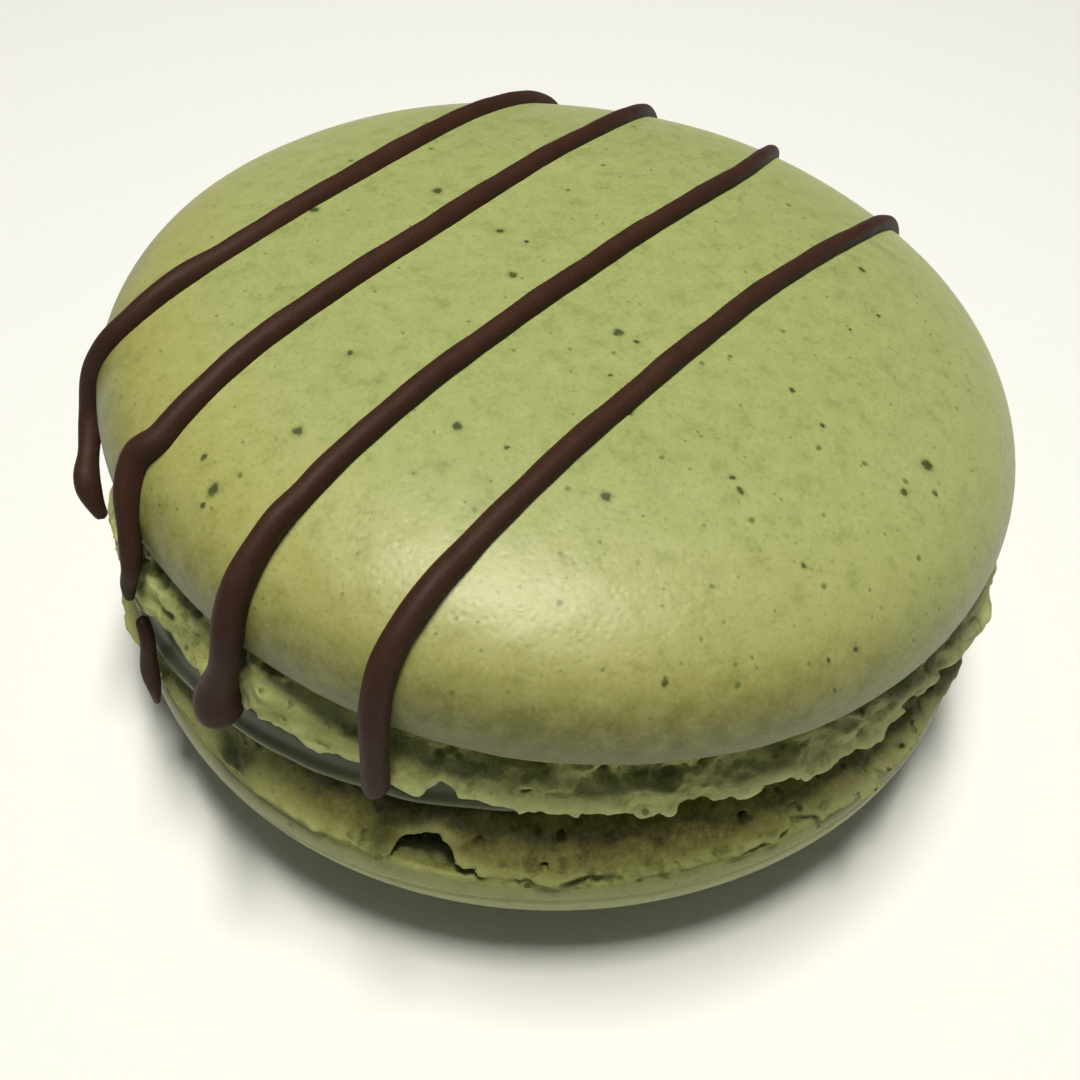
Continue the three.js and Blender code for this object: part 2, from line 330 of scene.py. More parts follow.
# %% Surface nets
def nets(block):
    """Points and quads of the surface where the block's depth is zero."""
    n = block.count
    inside = block.depth > 0
    ahead = [np.roll(block.depth, -1, 0), block.depth[:, 1:, :], block.depth[:, :, 1:]]
    here = [block.depth, block.depth[:, :-1, :], block.depth[:, :, :-1]]
    cells = (n[0], n[1] - 1, n[2] - 1)
    total = np.zeros((3,) + cells, np.float32)
    crossings = np.zeros(cells, np.int8)
    crossed = []
    # Each edge that is crossed adds the place of its crossing to the four cells that share it.
    for axis in range(3):
        cut = (here[axis] > 0) != (ahead[axis] > 0)
        share = np.where(cut, here[axis] / np.where(cut, here[axis] - ahead[axis], 1), 0)
        crossed.append(cut)
        others = [other for other in range(3) if other != axis]
        for shift in ((0, 0), (0, 1), (1, 0), (1, 1)):
            step = dict(zip(others, shift))
            cut_here, share_here = cut, share
            if step.get(0):
                cut_here, share_here = np.roll(cut, -1, 0), np.roll(share, -1, 0)
            window = [slice(None)] * 3
            for other in (1, 2):
                if other != axis:
                    window[other] = slice(step[other], cells[other] + step[other])
            window = tuple(window)
            cut_here, share_here = cut_here[window], share_here[window]
            crossings += cut_here
            total[axis] += share_here
            for other in others:
                if step[other]:
                    total[other] += cut_here
    active = crossings > 0
    number = np.full(cells, -1, np.int32)
    number[active] = np.arange(active.sum())
    at = np.array(np.nonzero(active), float) + total[:, active] / crossings[active]
    low, step = block.low, block.step
    points = round_point(at[0] * step[0], low[1] + at[1] * step[1], low[2] + at[2] * step[2])
    # Each edge that is crossed also makes one quad between those four cells' points.
    faces = []
    for axis in range(3):
        i, j, k = np.nonzero(crossed[axis])
        keep = np.ones(len(i), bool)
        if axis != 1:
            keep &= (j > 0) & (j < cells[1])
        if axis != 2:
            keep &= (k > 0) & (k < cells[2])
        i, j, k = i[keep], j[keep], k[keep]
        back = (i - 1) % n[0]
        quad = {
            0: [(i, j - 1, k - 1), (i, j, k - 1), (i, j, k), (i, j - 1, k)],
            1: [(back, j, k - 1), (back, j, k), (i, j, k), (i, j, k - 1)],
            2: [(back, j - 1, k), (i, j - 1, k), (i, j, k), (back, j, k)],
        }[axis]
        quad = np.stack([number[a, b, c] for a, b, c in quad], 1)
        leaving = inside[i, j, k]
        faces.append(np.where(leaving[:, None], quad, quad[:, ::-1]))
    return points, np.vstack(faces)


def main_body(points, faces):
    """Only the largest connected body, so that no crumb floats and no bubble is sealed in."""
    label = np.arange(len(points))
    pairs = np.vstack([faces[:, [0, 1]], faces[:, [1, 2]], faces[:, [2, 3]]])
    while True:
        low = np.minimum(label[pairs[:, 0]], label[pairs[:, 1]])
        new = label.copy()
        np.minimum.at(new, pairs[:, 0], low)
        np.minimum.at(new, pairs[:, 1], low)
        new = new[new]
        if (new == label).all():
            break
        label = new
    main = np.bincount(label[faces[:, 0]]).argmax()
    faces = faces[label[faces[:, 0]] == main]
    used, faces = np.unique(faces, return_inverse=True)
    return points[used], faces.reshape(-1, 4)


def closed_and_thinned(points, faces, most_faces):
    """Closes the holes at the block's sides and thins the mesh; gives points and triangles."""
    bm = bmesh.new()
    mesh = bpy.data.meshes.new("carving")
    mesh.from_pydata(points.tolist(), [], faces.tolist())
    bm.from_mesh(mesh)
    bmesh.ops.holes_fill(bm, edges=[e for e in bm.edges if e.is_boundary], sides=0)
    bmesh.ops.triangulate(bm, faces=bm.faces)
    bmesh.ops.recalc_face_normals(bm, faces=bm.faces)
    bm.to_mesh(mesh)
    bm.free()
    carving = bpy.data.objects.new("carving", mesh)
    bpy.context.scene.collection.objects.link(carving)
    thin = carving.modifiers.new("thin", "DECIMATE")
    thin.ratio = min(1.0, most_faces / len(mesh.polygons))
    done = bpy.data.meshes.new_from_object(
        carving.evaluated_get(bpy.context.evaluated_depsgraph_get()))
    out = np.empty(len(done.vertices) * 3)
    done.vertices.foreach_get("co", out)
    triangles = [tuple(p.vertices) for p in done.polygons]
    bpy.data.objects.remove(carving)
    bpy.data.meshes.remove(mesh)
    bpy.data.meshes.remove(done)
    return out.reshape(-1, 3), triangles


# %% [markdown]
# ## How deep in a hollow
#
# How shut in a place is sets painted light and painted shade: torn edges of bubbles are painted
# lighter, partly as crust that baked light, and hollows darker, partly as moist batter and partly
# as painted shade. The share of batter in a small box round each point says how shut in it is, a
# half on a flat side, less on an edge and more in a pit.

# %% Share of batter round each point
SHARE_BOXES = ((0.4, 0.6), (1.0, 0.4))  # half size of the box in mm, and the weight it gets


def box_mean(values, half, axis):
    """Running mean along one axis over a window that reaches half cells to either side."""
    closed = axis == 0
    pads = [(half + 1, half) if a == axis else (0, 0) for a in range(3)]
    sums = np.cumsum(np.pad(values, pads, mode="wrap" if closed else "edge"), axis=axis)
    size = 2 * half + 1
    ends = [slice(None)] * 3
    starts = [slice(None)] * 3
    ends[axis], starts[axis] = slice(size, None), slice(None, -size)
    return (sums[tuple(ends)] - sums[tuple(starts)]) / size


def hollowness(block, points):
    """Weighted mean of the shares of batter in a small and in a large box round each point."""
    angle = np.degrees(np.arctan2(points[:, 1], points[:, 0])) % 360
    at = np.stack([angle, np.hypot(points[:, 0], points[:, 1]), points[:, 2]])
    cell = [np.round((at[a] - block.low[a]) / block.step[a]).astype(int) for a in range(3)]
    cell[0] %= block.count[0]
    for axis in (1, 2):
        cell[axis] = np.clip(cell[axis], 0, block.count[axis] - 1)
    total = 0.0
    for half_mm, weight in SHARE_BOXES:
        share = (block.depth > 0).astype(np.float32)
        for axis in range(3):
            share = box_mean(share, max(1, round(half_mm / CELL)), axis)
        total = total + weight * share[tuple(cell)]
    return total


# %% [markdown]
# ## The foot of the upper shell
#
# Seen from the front this foot is a lumpy band under a dark groove. Its lower edge is torn, with
# one long tip that hangs down, and at the right the batter set in thin layers. The side starts
# from the same section as the plain model, gets its lumps and cracks, and is then pitted with
# bubbles of every size, most of them small.

# %% Tables for the upper foot
# Angle and depth below the widest line, at the front: of the shoulder under the groove, and of the
# torn lower edge.
TOP_SHOULDER = [
    (-146, 1.9), (-138, 1.9), (-131.5, 2.4), (-128, 2.5), (-124, 1.5), (-121, 1.8), (-118, 2.4),
    (-114.4, 3.1), (-110, 3.3), (-106, 3.2), (-101.5, 2.95), (-95, 3.45), (-88.5, 3.3), (-82, 3.5),
    (-74, 3.5), (-68, 3.6), (-60, 3.5), (-54, 3.3), (-48, 3.1), (-40, 2.9),
]
TOP_EDGE = [
    (-146, 5.13), (-144, 5.05), (-138, 4.4), (-133.6, 4.91), (-126.7, 4.17), (-125.5, 4.28),
    (-120.5, 4.34), (-117.7, 4.11), (-115.2, 4.8), (-111.9, 4.35), (-110.2, 4.26), (-108.9, 4.04),
    (-106, 4.7), (-103.2, 5.13), (-101.1, 3.8), (-98.9, 4.63), (-96.7, 4.39), (-94.6, 4.91),
    (-92.4, 5.12), (-90.3, 4.46), (-88, 5.48), (-86, 6.04), (-85.2, 4.95), (-83.9, 4.72),
    (-81.6, 4.51), (-79.4, 5.86), (-78.2, 5.64), (-77.2, 5.21), (-76, 5.27), (-75.4, 4.96),
    (-74.5, 5.2), (-72.8, 5.0), (-67.6, 4.97), (-65, 4.45), (-62, 4.5), (-59.4, 5.5), (-56.4, 5.4),
    (-53, 5.5), (-50.5, 5.6), (-48.3, 5.4), (-46.6, 4.7), (-45, 4.1), (-42, 4.1), (-38, 4.6),
]
# Bubbles that burst along the groove at the front: angle, height, half length round and up.
GROOVE_BUBBLES = [
    (-142, -1.9, 1.0, 0.4), (-136, -1.8, 0.9, 0.35), (-128.0, -2.3, 0.9, 0.7),
    (-121, -1.6, 0.8, 0.3), (-116.4, -2.1, 0.9, 0.5), (-112.2, -2.7, 0.9, 0.6),
    (-108.0, -2.6, 1.0, 0.6), (-103.6, -2.3, 1.1, 0.5), (-98.7, -2.4, 0.9, 0.45),
    (-95, -2.7, 0.7, 0.6), (-90.8, -2.5, 0.9, 0.6), (-86.8, -2.3, 0.8, 0.45),
    (-84.0, -2.8, 0.7, 0.55), (-79.8, -2.8, 1.0, 0.6), (-76.8, -3.3, 0.75, 0.6),
    (-72.0, -2.9, 0.8, 0.5), (-68.2, -2.8, 1.0, 0.6), (-63.0, -2.8, 1.1, 0.6),
    (-57.0, -2.7, 1.2, 0.65), (-50.5, -2.5, 1.4, 0.7), (-43.5, -2.3, 1.3, 0.65),
]
TOP_HOLLOWS = [
    # angle, reach, height, (half length round, out, up)
    (-146.3, 24.0, -2.3, (0.24, 0.5, 0.6)),
    (-138.4, 24.1, -3.0, (0.4, 0.4, 0.25)),
    (-123.4, 24.1, -4.3, (0.26, 0.3, 0.2)),
    (-72.2, 24.15, -4.0, (0.9, 0.5, 0.7)),
]

# %% Helpers that both feet use
FOOT_REACH = 23.5


def told(angle, table, elsewhere):
    """A depth from a table at the front, and the one given for elsewhere round the back."""
    signed = (angle + 180) % 360 - 180
    known = soft_step(-152, -146, signed) * soft_step(-36, -42, signed)
    return elsewhere * (1 - known) + known * np.interp(signed, *np.array(table).T)


def side_of(block, shell, shoulder, edge, ruffle_depth):
    """Reach of the foot's side at every angle and height, before its lumps."""
    share_down, reach, rough = np.array(shell["foot_side"]).T
    down = (-block.height[None, :] - shoulder[:, None]) / (edge - shoulder)[:, None]
    base, share = np.interp(down, share_down, reach), np.interp(down, share_down, rough)
    angle = block.angle[:, None]
    round_by = 1 + out_of_round(angle, shell["outline"]) / shell["radius"]
    push = ruffle_depth * ruffle(angle, -block.height, shell["seed"])
    return base * round_by + share * (push + swelling(angle, shell["swell"]))


def lumps(block, sizes, rng):
    """Lumps and dents; sizes holds (size of a lump round, out and up, its height), in mm."""
    return sum(height * block.noise(lump, rng) for lump, height in sizes)


def bowls(block, sizes, rng):
    """Shallow bowls that meet in thin ridges, as bubbles do that burst side by side."""
    return sum(height * (0.8 - np.abs(block.noise(lump, rng))) for lump, height in sizes)


def pits(block, sizes, rng):
    """Scattered ragged pits, where the noise is at its highest."""
    return sum(-depth * np.maximum(block.noise(lump, rng) - 1.25, 0) for lump, depth in sizes)


def fading_in(block, start, full):
    """No unevenness near the skin and deep inside, all of it below."""
    down = soft_step(start, full, block.height)[None, :]
    outwards = soft_step(20.2, 21.2, block.reach)[:, None]
    return (down * outwards)[None]


def burst_bubbles(block, angles, height, half_up, half_out, rng):
    """A row of burst bubbles, side by side, each with a thin raised edge."""
    angle = angles[0]
    outer = block.outermost()
    while angle < angles[1]:
        long = rng.uniform(0.8, 1.5)
        z = height + rng.uniform(-0.22, 0.22)
        k = int((z - block.low[2]) / CELL)
        reach = outer[int(angle / block.step[0]) % block.count[0], k]
        size = (long, half_out, half_up * rng.uniform(0.75, 1.25))
        block.press(angle, reach + 0.1, z, size, rim=0.06, soft=0.08)
        angle += math.degrees(long * rng.uniform(1.7, 2.3) / FOOT_REACH)


# %% Carve the upper foot
MOST_FACES_TOP = 185000


def carve_top_foot():
    rng = np.random.default_rng(41)
    block = Block(-0.55, -7.0)
    angle, reach, height = block.angle, block.reach, block.height
    shoulder = told(angle, TOP_SHOULDER, 2.6 + 0.35 * ruffle(angle, 2.0, TOP["seed"] + 5))
    shoulder = shoulder + 0.15 * ruffle(3 * angle, 1.0, 5.0)
    torn = told(angle, TOP_EDGE, 5.2 - 0.35 * ruffle(angle, 3.0, TOP["seed"] + 2))
    torn = torn + 0.045 * ruffle(5 * angle, 2.0, 1.0)
    under = soft_step(21.6, 23.4, reach)
    floor = -(TOP["face_depth"] * (1 - under)[None, :] + torn[:, None] * under[None, :])
    side = side_of(block, TOP, shoulder, torn, 0.2)
    out_depth = side[:, None, :] - reach[None, :, None]
    up_depth = height[None, None, :] - floor[:, :, None]
    fade = fading_in(block, -1.1, -1.9)
    relief = fade * (lumps(block, [((2.6, 2.0, 1.6), 0.1), ((1.2, 1.0, 0.9), 0.08)], rng)
                     + bowls(block, [((2.2, 1.4, 1.3), 0.09)], rng))
    block.depth = soft_lower(out_depth + relief, up_depth + 0.25 * relief, 0.12).astype(np.float32)
    for place, z, long, up in GROOVE_BUBBLES:
        block.press(place, 23.35, z, (long, 0.8, up), rim=0.06, soft=0.1)
    burst_bubbles(block, (-40, 214), -2.1, 0.5, 0.6, rng)
    burst_bubbles(block, (-44, 60), -3.7, 0.32, 0.45, rng)
    burst_bubbles(block, (60, 214), -3.9, 0.3, 0.45, rng)
    for hollow in TOP_HOLLOWS:
        block.press(*hollow, rim=0.04, soft=0.08)
    fade = fade * (0.45 + 0.55 * soft_step(0.0, 0.6, up_depth)).astype(np.float32)
    block.depth += fade * (
        lumps(block, [((0.65, 0.55, 0.55), 0.06), ((0.33, 0.3, 0.3), 0.05)], rng)
        + bowls(block, [((1.0, 0.8, 0.8), 0.06)], rng)
        + pits(block, [((0.75, 0.6, 0.5), 0.2), ((0.4, 0.4, 0.35), 0.14)], rng))
    return block


top_block = carve_top_foot()
print("upper block, cells:", top_block.count)
points, faces = main_body(*nets(top_block))
print("upper foot before thinning:", len(faces))
points, faces = closed_and_thinned(points, faces, MOST_FACES_TOP)
top_foot = make_piece("top_foot", points, faces, TOP_STAND,
                      hollow=hollowness(top_block, points))

# %% [markdown]
# ## The foot of the lower shell
#
# The lower foot leans inwards as it rises, so its bubbles are seen from above. One large bubble
# broke open at the front and left an arch with a thin pale rim, and narrow slits run where the
# foot lifted off the skin. The lower shell is carved dome up and turned over, so an angle on the
# finished macaron is entered with its sign changed.

# %% Tables for the lower foot
BOTTOM_HOLLOWS = [
    # angle, reach, height, (half length round, out, up), raised edge
    (91.9, 24.3, -1.42, (0.7, 0.4, 0.24), 0.03),
    (83.7, 24.2, -1.5, (1.6, 0.45, 0.6), 0.06),
    (74.5, 24.2, -1.75, (0.3, 0.3, 0.2), 0.03),
    (65.2, 24.2, -1.42, (1.0, 0.5, 0.42), 0.05),
    (59.3, 24.2, -1.45, (1.3, 0.6, 0.5), 0.05),
    (49.0, 24.2, -1.45, (1.3, 0.6, 0.4), 0.05),
]
# The upper edge of the mouth of the large bubble: angle, and depth below the widest line.
MOUTH = [
    (95.2, 0.9), (96.2, 1.55), (97.2, 1.85), (98.2, 1.95), (99.2, 2.1), (100.0, 2.35),
    (100.8, 2.65), (101.8, 2.93), (103.2, 2.97), (104.4, 2.8), (105.5, 2.45), (106.4, 2.0),
    (107.1, 1.4), (107.4, 0.9),
]
# Single pits: angle, reach, height, half size.
PITS = [
    (74.4, 24.1, -1.9, 0.17), (65.1, 23.1, -2.6, 0.19), (59.0, 23.6, -2.2, 0.18),
    (87.3, 22.7, -2.9, 0.17), (89.3, 23.6, -2.2, 0.13),
]


# %% Carve the lower foot
# Painted shade in the arch: its hollow is shut in on all sides but one, so it counts as deeper than
# its cells say and is painted darker.
ARCH_SHADE = 0.24
MOST_FACES_BOTTOM = 150000
ARCH_ANGLE, SLITS_BEHIND = 102, 14


def large_bubble(block):
    """What the bubble at the front leaves: the batter above its ceiling and behind its wall."""
    mouth = np.interp(block.angle, *np.array(MOUTH).T)
    ceiling = mouth[:, None] - 0.2 * np.maximum(23.2 - block.reach, 0)[None, :] ** 2
    wall = 23.6 - 2.2 * hump(block.angle, ARCH_ANGLE, 8.5)
    above = -ceiling[:, :, None] - block.height[None, None, :]
    return np.maximum(above, (wall[:, None] - block.reach[None, :])[:, :, None])


def carve_bottom_foot():
    rng = np.random.default_rng(77)
    block = Block(-0.5, -4.6)
    angle, reach, height = block.angle, block.reach, block.height
    shoulder = 1.2 + 0.1 * ruffle(3 * angle, 1.0, 2.0) * soft_step(112, 104, angle % 360)
    side = side_of(block, BOTTOM, shoulder, np.full_like(angle, 3.2), 0.22)
    # The bubble that broke open at the front still bulges above its arch.
    bulge = 0.75 * hump(angle, 102.5, 7)[:, None]
    side = side + bulge * np.exp(-(((height + 3.05) / 0.5) ** 2))[None, :]
    out_depth = side[:, None, :] - reach[None, :, None]
    up_depth = (height + BOTTOM["face_depth"])[None, None, :]
    fade = fading_in(block, -1.3, -1.9)
    layered = 0.11 * hump(angle, 40, 60)[:, None, None] * block.noise((4.5, 1.5, 0.42), rng)
    relief = fade * (lumps(block, [((2.6, 2.0, 1.7), 0.09), ((1.2, 1.0, 0.9), 0.08)], rng) + layered
                     + bowls(block, [((3.4, 1.4, 0.9), 0.13)], rng))
    relief = relief * (1 - 0.6 * hump(angle, 101, 9))[:, None, None]
    block.depth = soft_lower(out_depth + relief, up_depth, 0.5).astype(np.float32)
    burst_bubbles(block, (-140, 50), -2.25, 0.22, 0.4, rng)
    burst_bubbles(block, (-140, 50), -3.0, 0.28, 0.45, rng)
    for *place, size, rim in BOTTOM_HOLLOWS:
        block.press(*place, size, rim=rim, soft=0.05)
    for *place, half in PITS:
        block.press(*place, (half * 1.3, 0.4, half), soft=0.06)
    block.depth = soft_lower(block.depth, large_bubble(block), 0.1).astype(np.float32)
    fade = fade * (1 - 0.5 * hump(angle, ARCH_ANGLE, 7))[:, None, None]
    for _ in range(SLITS_BEHIND):
        place = (rng.uniform(118, 400), 24.25, -rng.uniform(1.38, 1.5))
        size = (rng.uniform(0.5, 1.4), rng.uniform(0.5, 0.8), rng.uniform(0.2, 0.36))
        block.press(*place, size, rim=0.04)
    block.depth += fade * (
        lumps(block, [((0.65, 0.55, 0.55), 0.05), ((0.33, 0.3, 0.3), 0.04)], rng)
        + bowls(block, [((1.2, 0.8, 0.7), 0.06)], rng)
        + pits(block, [((0.7, 0.55, 0.45), 0.22), ((0.4, 0.4, 0.35), 0.16)], rng))
    # The skin's top edge lies under the slits as a level floor, sunk under the arch.
    sunk = 0.5 * hump(angle, ARCH_ANGLE, 8)[:, None] * soft_step(24.1, 23.3, reach)[None, :]
    floor_depth = soft_lower(out_depth, height[None, None, :] + (1.36 - sunk)[:, :, None], 0.1)
    block.depth = np.maximum(block.depth, floor_depth.astype(np.float32))
    return block


bottom_block = carve_bottom_foot()
points, faces = main_body(*nets(bottom_block))
print("lower foot before thinning:", len(faces))
points, faces = closed_and_thinned(points, faces, MOST_FACES_BOTTOM)
# Painted shade: points deep in the arch get ARCH_SHADE added to their share of batter, so their
# finish turns darker.
around = np.degrees(np.arctan2(points[:, 1], points[:, 0])) % 360
in_arch = hump(around, ARCH_ANGLE, 8) * soft_step(-2.6, -1.9, points[:, 2])
in_arch *= soft_step(24.0, 23.2, np.hypot(points[:, 0], points[:, 1]))
bottom_foot = make_piece("bottom_foot", points, faces, BOTTOM_STAND,
                         hollow=hollowness(bottom_block, points) + ARCH_SHADE * in_arch)

# %% [markdown]
# ## The filling
#
# The filling is smooth and soft. Pressed between the shells it spread further on the left, where
# they gape, and it shows as a band with a thin lip low on its side. A turned disc with its own
# uneven reach does for it, and its top follows the tilt of the shell above.

# %% Turn the filling
FILLING = {"radius": 21.7, "centre_x": -2.3, "swell": [(-166, 18, 0.35)], "seed": 2.6}
FILLING_FLOOR, GAP_TO_TOP, FILLING_TURNS = 10.05, 0.12, 420


def ceiling_at(x):
    """Height of the upper foot's flat underside, less a hair's gap."""
    face = TOP_CENTRE[2] - TOP["face_depth"] / math.cos(TOP_TILT)
    return face - (x - TOP_CENTRE[0]) * math.tan(TOP_TILT) - GAP_TO_TOP


def filling_points():
    # Share of the reach and of the thickness, from under the middle round the side to the top.
    wall = [(0.975, 0.0), (0.99, 0.02), (1.0, 0.08), (1.005, 0.16), (1.003, 0.24), (0.996, 0.31),
            (0.989, 0.38), (0.986, 0.48), (0.985, 0.6), (0.983, 0.72), (0.977, 0.82),
            (0.965, 0.91), (0.945, 0.97), (0.92, 1.0)]
    section = np.array([(0.4, 0.0), (0.75, 0.0), (0.93, 0.0)] + wall + [(0.75, 1.0), (0.4, 1.0)])
    angle = np.arange(FILLING_TURNS) * 360 / FILLING_TURNS
    share, level = section[:, :1], section[:, 1:]
    spread = swelling(angle, FILLING["swell"]) + 0.12 * ruffle(angle, 1.0, FILLING["seed"])
    lip = 0.05 * ruffle(angle * 2 + 40, 2.0, 1.3) * np.exp(-(((level - 0.18) / 0.12) ** 2))
    place = round_point(angle, share * (FILLING["radius"] + spread) + lip, level)
    place[..., 0] += FILLING["centre_x"]
    place[..., 2] = FILLING_FLOOR + level * (ceiling_at(place[..., 0]) - FILLING_FLOOR)
    under = [(FILLING["centre_x"], 0, FILLING_FLOOR)]
    above = [(FILLING["centre_x"], 0, ceiling_at(FILLING["centre_x"]))]
    points = np.vstack([under, place.reshape(-1, 3), above])
    return points, turned_faces(len(section), FILLING_TURNS)


filling_layer = make_piece("filling_layer", *filling_points(), UPRIGHT)

# %% [markdown]
# ## The chocolate
#
# The lines were piped across the shell in quick passes. A line is a bead that runs over the dome
# from the far rim to the near one, a little bowed, thin where the bag moved fast and thick where
# it slowed, and it hangs over both rims. So each is a path on the dome with a width at every
# point, and a rounded section is swept along it. The end that hangs down gets its own widths: a
# fat drop on the third line, a blunt end on the fourth and thin ones on the first two. The second
# line broke, and its end hangs by itself between the shells.

# %% Paths and widths of the lines
BEAD_LIFT, BEAD_SIDES, BEAD_STEP = 0.06, 26, 0.16
# Each line: the rim angles its sweep over the dome aims at, how far it bows and waves aside, and
# the height at which it leaves that sweep for its near stops (angle, reach, height), over the rim
# and down. Then its half widths at distances from the near end.
LINES = [
    {"far": 91.8, "near": -168.3, "bow": 2.16, "waves": (-0.36, 0.02, 0.0), "far_hang": 2.2,
     "leaves_at": 5.7,
     "near_stops": [(-174.8, 19.55, 5.42), (-172.8, 20.75, 4.75), (-171.3, 21.88, 3.95),
                    (-170.6, 22.96, 2.9), (-170.2, 23.85, 1.5), (-169.8, 24.25, 0.2),
                    (-168.8, 24.5, -1.3), (-165.3, 24.75, -2.5), (-162.3, 25.0, -3.2),
                    (-160.9, 24.85, -4.2), (-159.9, 24.55, -5.1)],
     "near_widths": [(0, 0.3), (0.7, 0.42), (1.6, 0.62), (2.6, 0.64), (3.6, 0.52), (5.2, 0.6),
                     (8, 0.58), (12, 0.55)]},
    {"far": 77.3, "near": -146.4, "bow": 2.40, "waves": (0.42, 0.09, 0.16), "far_hang": 1.6,
     "leaves_at": 3.7,
     "near_stops": [(-148.6, 22.6, 3.4), (-147.5, 23.4, 2.35), (-146.2, 23.8, 1.5),
                    (-145.0, 24.05, 0.6), (-143.7, 24.3, -0.3), (-143.0, 24.5, -1.3),
                    (-143.6, 24.75, -2.5), (-143.1, 24.9, -3.5)],
     "near_widths": [(0, 0.16), (0.6, 0.34), (1.4, 0.4), (3, 0.5), (4.5, 0.52), (6, 0.6),
                     (8, 0.66), (12, 0.6)]},
    {"far": 57.9, "near": -126.8, "bow": 2.28, "waves": (0.77, 0.23, 0.15), "far_hang": 1.2,
     "leaves_at": 5.2,
     "near_stops": [(-126.5, 20.6, 4.9), (-126.5, 22.24, 3.7), (-126.35, 23.21, 2.6),
                    (-126.1, 23.9, 1.2), (-125.9, 24.3, -0.2), (-126.4, 24.45, -1.9),
                    (-127.3, 24.55, -3.5), (-127.3, 24.6, -4.8), (-126.7, 24.6, -5.8)],
     "near_widths": [(0, 0.85), (0.7, 1.05), (1.6, 1.1), (2.4, 0.98), (3.2, 0.8), (4.4, 0.68),
                     (6, 0.68), (8, 0.68), (10, 0.62), (12, 0.57)]},
    {"far": 35.0, "near": -108.9, "bow": 0.65, "waves": (0.30, 0.11, 0.11), "far_hang": 2.0,
     "leaves_at": 5.4,
     "near_stops": [(-105.2, 20.08, 5.15), (-107.0, 21.7, 4.15), (-107.8, 22.72, 3.2),
                    (-108.1, 23.53, 2.05), (-108.1, 24.05, 0.6), (-107.85, 24.4, -1.1),
                    (-107.6, 24.5, -3.0), (-107.4, 24.5, -4.9)],
     "near_widths": [(0, 0.55), (0.5, 0.64), (1.2, 0.66), (2.4, 0.62), (4.5, 0.66), (8, 0.66),
                     (11, 0.62), (14, 0.57)]},
]
FAR_WIDTHS = [(0, 0.46), (0.6, 0.56), (1.6, 0.52), (4, 0.47), (12, 0.5), (22, 0.54)]


def dome_height(shell, r):
    fall = np.clip(r / shell["radius"], 0, 1) ** shell["dome_power"]
    return shell["dome_height"] * np.sqrt(1 - fall)


def on_dome(shell, plan, lift):
    """Points on the dome over places in plan, raised from it by lift along its normal."""
    step = 0.01
    r = np.minimum(np.hypot(*plan.T), shell["radius"] - step)
    slope = (dome_height(shell, r) - dome_height(shell, r - step)) / step
    normal = np.stack([-slope, np.ones_like(slope)], 1)
    normal *= lift / np.hypot(*normal.T)[:, None]
    outward = plan / np.hypot(*plan.T)[:, None] * (r + normal[:, 0])[:, None]
    return np.column_stack([outward, dome_height(shell, r) + normal[:, 1]])


def through(points, per_span=24):
    """A smooth curve through points, the centripetal Catmull-Rom way."""
    p = np.vstack([2 * points[0] - points[1], points, 2 * points[-1] - points[-2]])
    out = []
    for a, b, c, d in zip(p, p[1:], p[2:], p[3:]):
        t1, t2, t3 = np.cumsum([np.linalg.norm(v) ** 0.5 + 1e-6 for v in (b - a, c - b, d - c)])
        for t in np.linspace(t1, t2, per_span, endpoint=False):
            ab, bc, cd = (a + (b - a) * t / t1, b + (c - b) * (t - t1) / (t2 - t1),
                          c + (d - c) * (t - t2) / (t3 - t2))
            abc = ab + (bc - ab) * t / t2
            bcd = bc + (cd - bc) * (t - t1) / (t3 - t1)
            out.append(abc + (bcd - abc) * (t - t1) / (t2 - t1))
    return np.array(out + [points[-1]])


def evenly(points, step):
    """The same curve with points about one step apart, and how far along it each one lies."""
    lengths = np.concatenate([[0], np.cumsum(np.linalg.norm(np.diff(points, axis=0), axis=1))])
    at = np.linspace(0, lengths[-1], max(8, round(lengths[-1] / step)))
    return np.column_stack([np.interp(at, lengths, axis) for axis in points.T]), at


def eased(points, reach):
    """Rounds the corners of an even path with a moving average."""
    weights = np.hanning(2 * reach + 3)[1:-1]
    before, after = 2 * points[0] - points[reach:0:-1], 2 * points[-1] - points[-2:-reach - 2:-1]
    padded = np.vstack([before, points, after])
    weights = weights / weights.sum()
    return np.column_stack([np.convolve(axis, weights, "valid") for axis in padded.T])


def line_path(shell, line):
    """Points from the hanging far end of a line over the dome to its hanging near end."""
    far, near = (round_point(line[end], shell["radius"], 0)[:2] for end in ("far", "near"))
    along = near - far
    aside = np.array([-along[1], along[0]]) / np.linalg.norm(along)
    t = (1 - np.cos(np.linspace(0, math.pi, 49))) / 2
    shift = 4 * line["bow"] * t * (1 - t)
    shift += sum(size * np.sin((k + 2) * math.pi * t) for k, size in enumerate(line["waves"]))
    middle = on_dome(shell, far + t[:, None] * along + shift[:, None] * aside, BEAD_LIFT)
    middle = middle[(t < 0.5) | (middle[:, 2] > line["leaves_at"])]
    x, y, _ = middle[0] * 1.004
    over_far_rim = [(x, y, -line["far_hang"] * share) for share in (1, 0.5)]
    return np.vstack([over_far_rim, middle, [round_point(*stop) for stop in line["near_stops"]]])


# %% [markdown]
# Melted chocolate is never an even rod. A few slow sines make the bead waver in width by a few
# hundredths of a millimetre and roll a little from side to side, and each end closes in a dome.

# %% Sweep a bead
SWEEP_CENTRE = np.array([0, 0, -14.0])  # the bead's back turns away from this point
BACK_HEIGHT, BELLY_DEPTH = 1.1, 0.94  # of the bead's section, as shares of its half width
BLUNT = 1.05  # length of a closed end, as a share of the half width there
THINNEST = 0.03


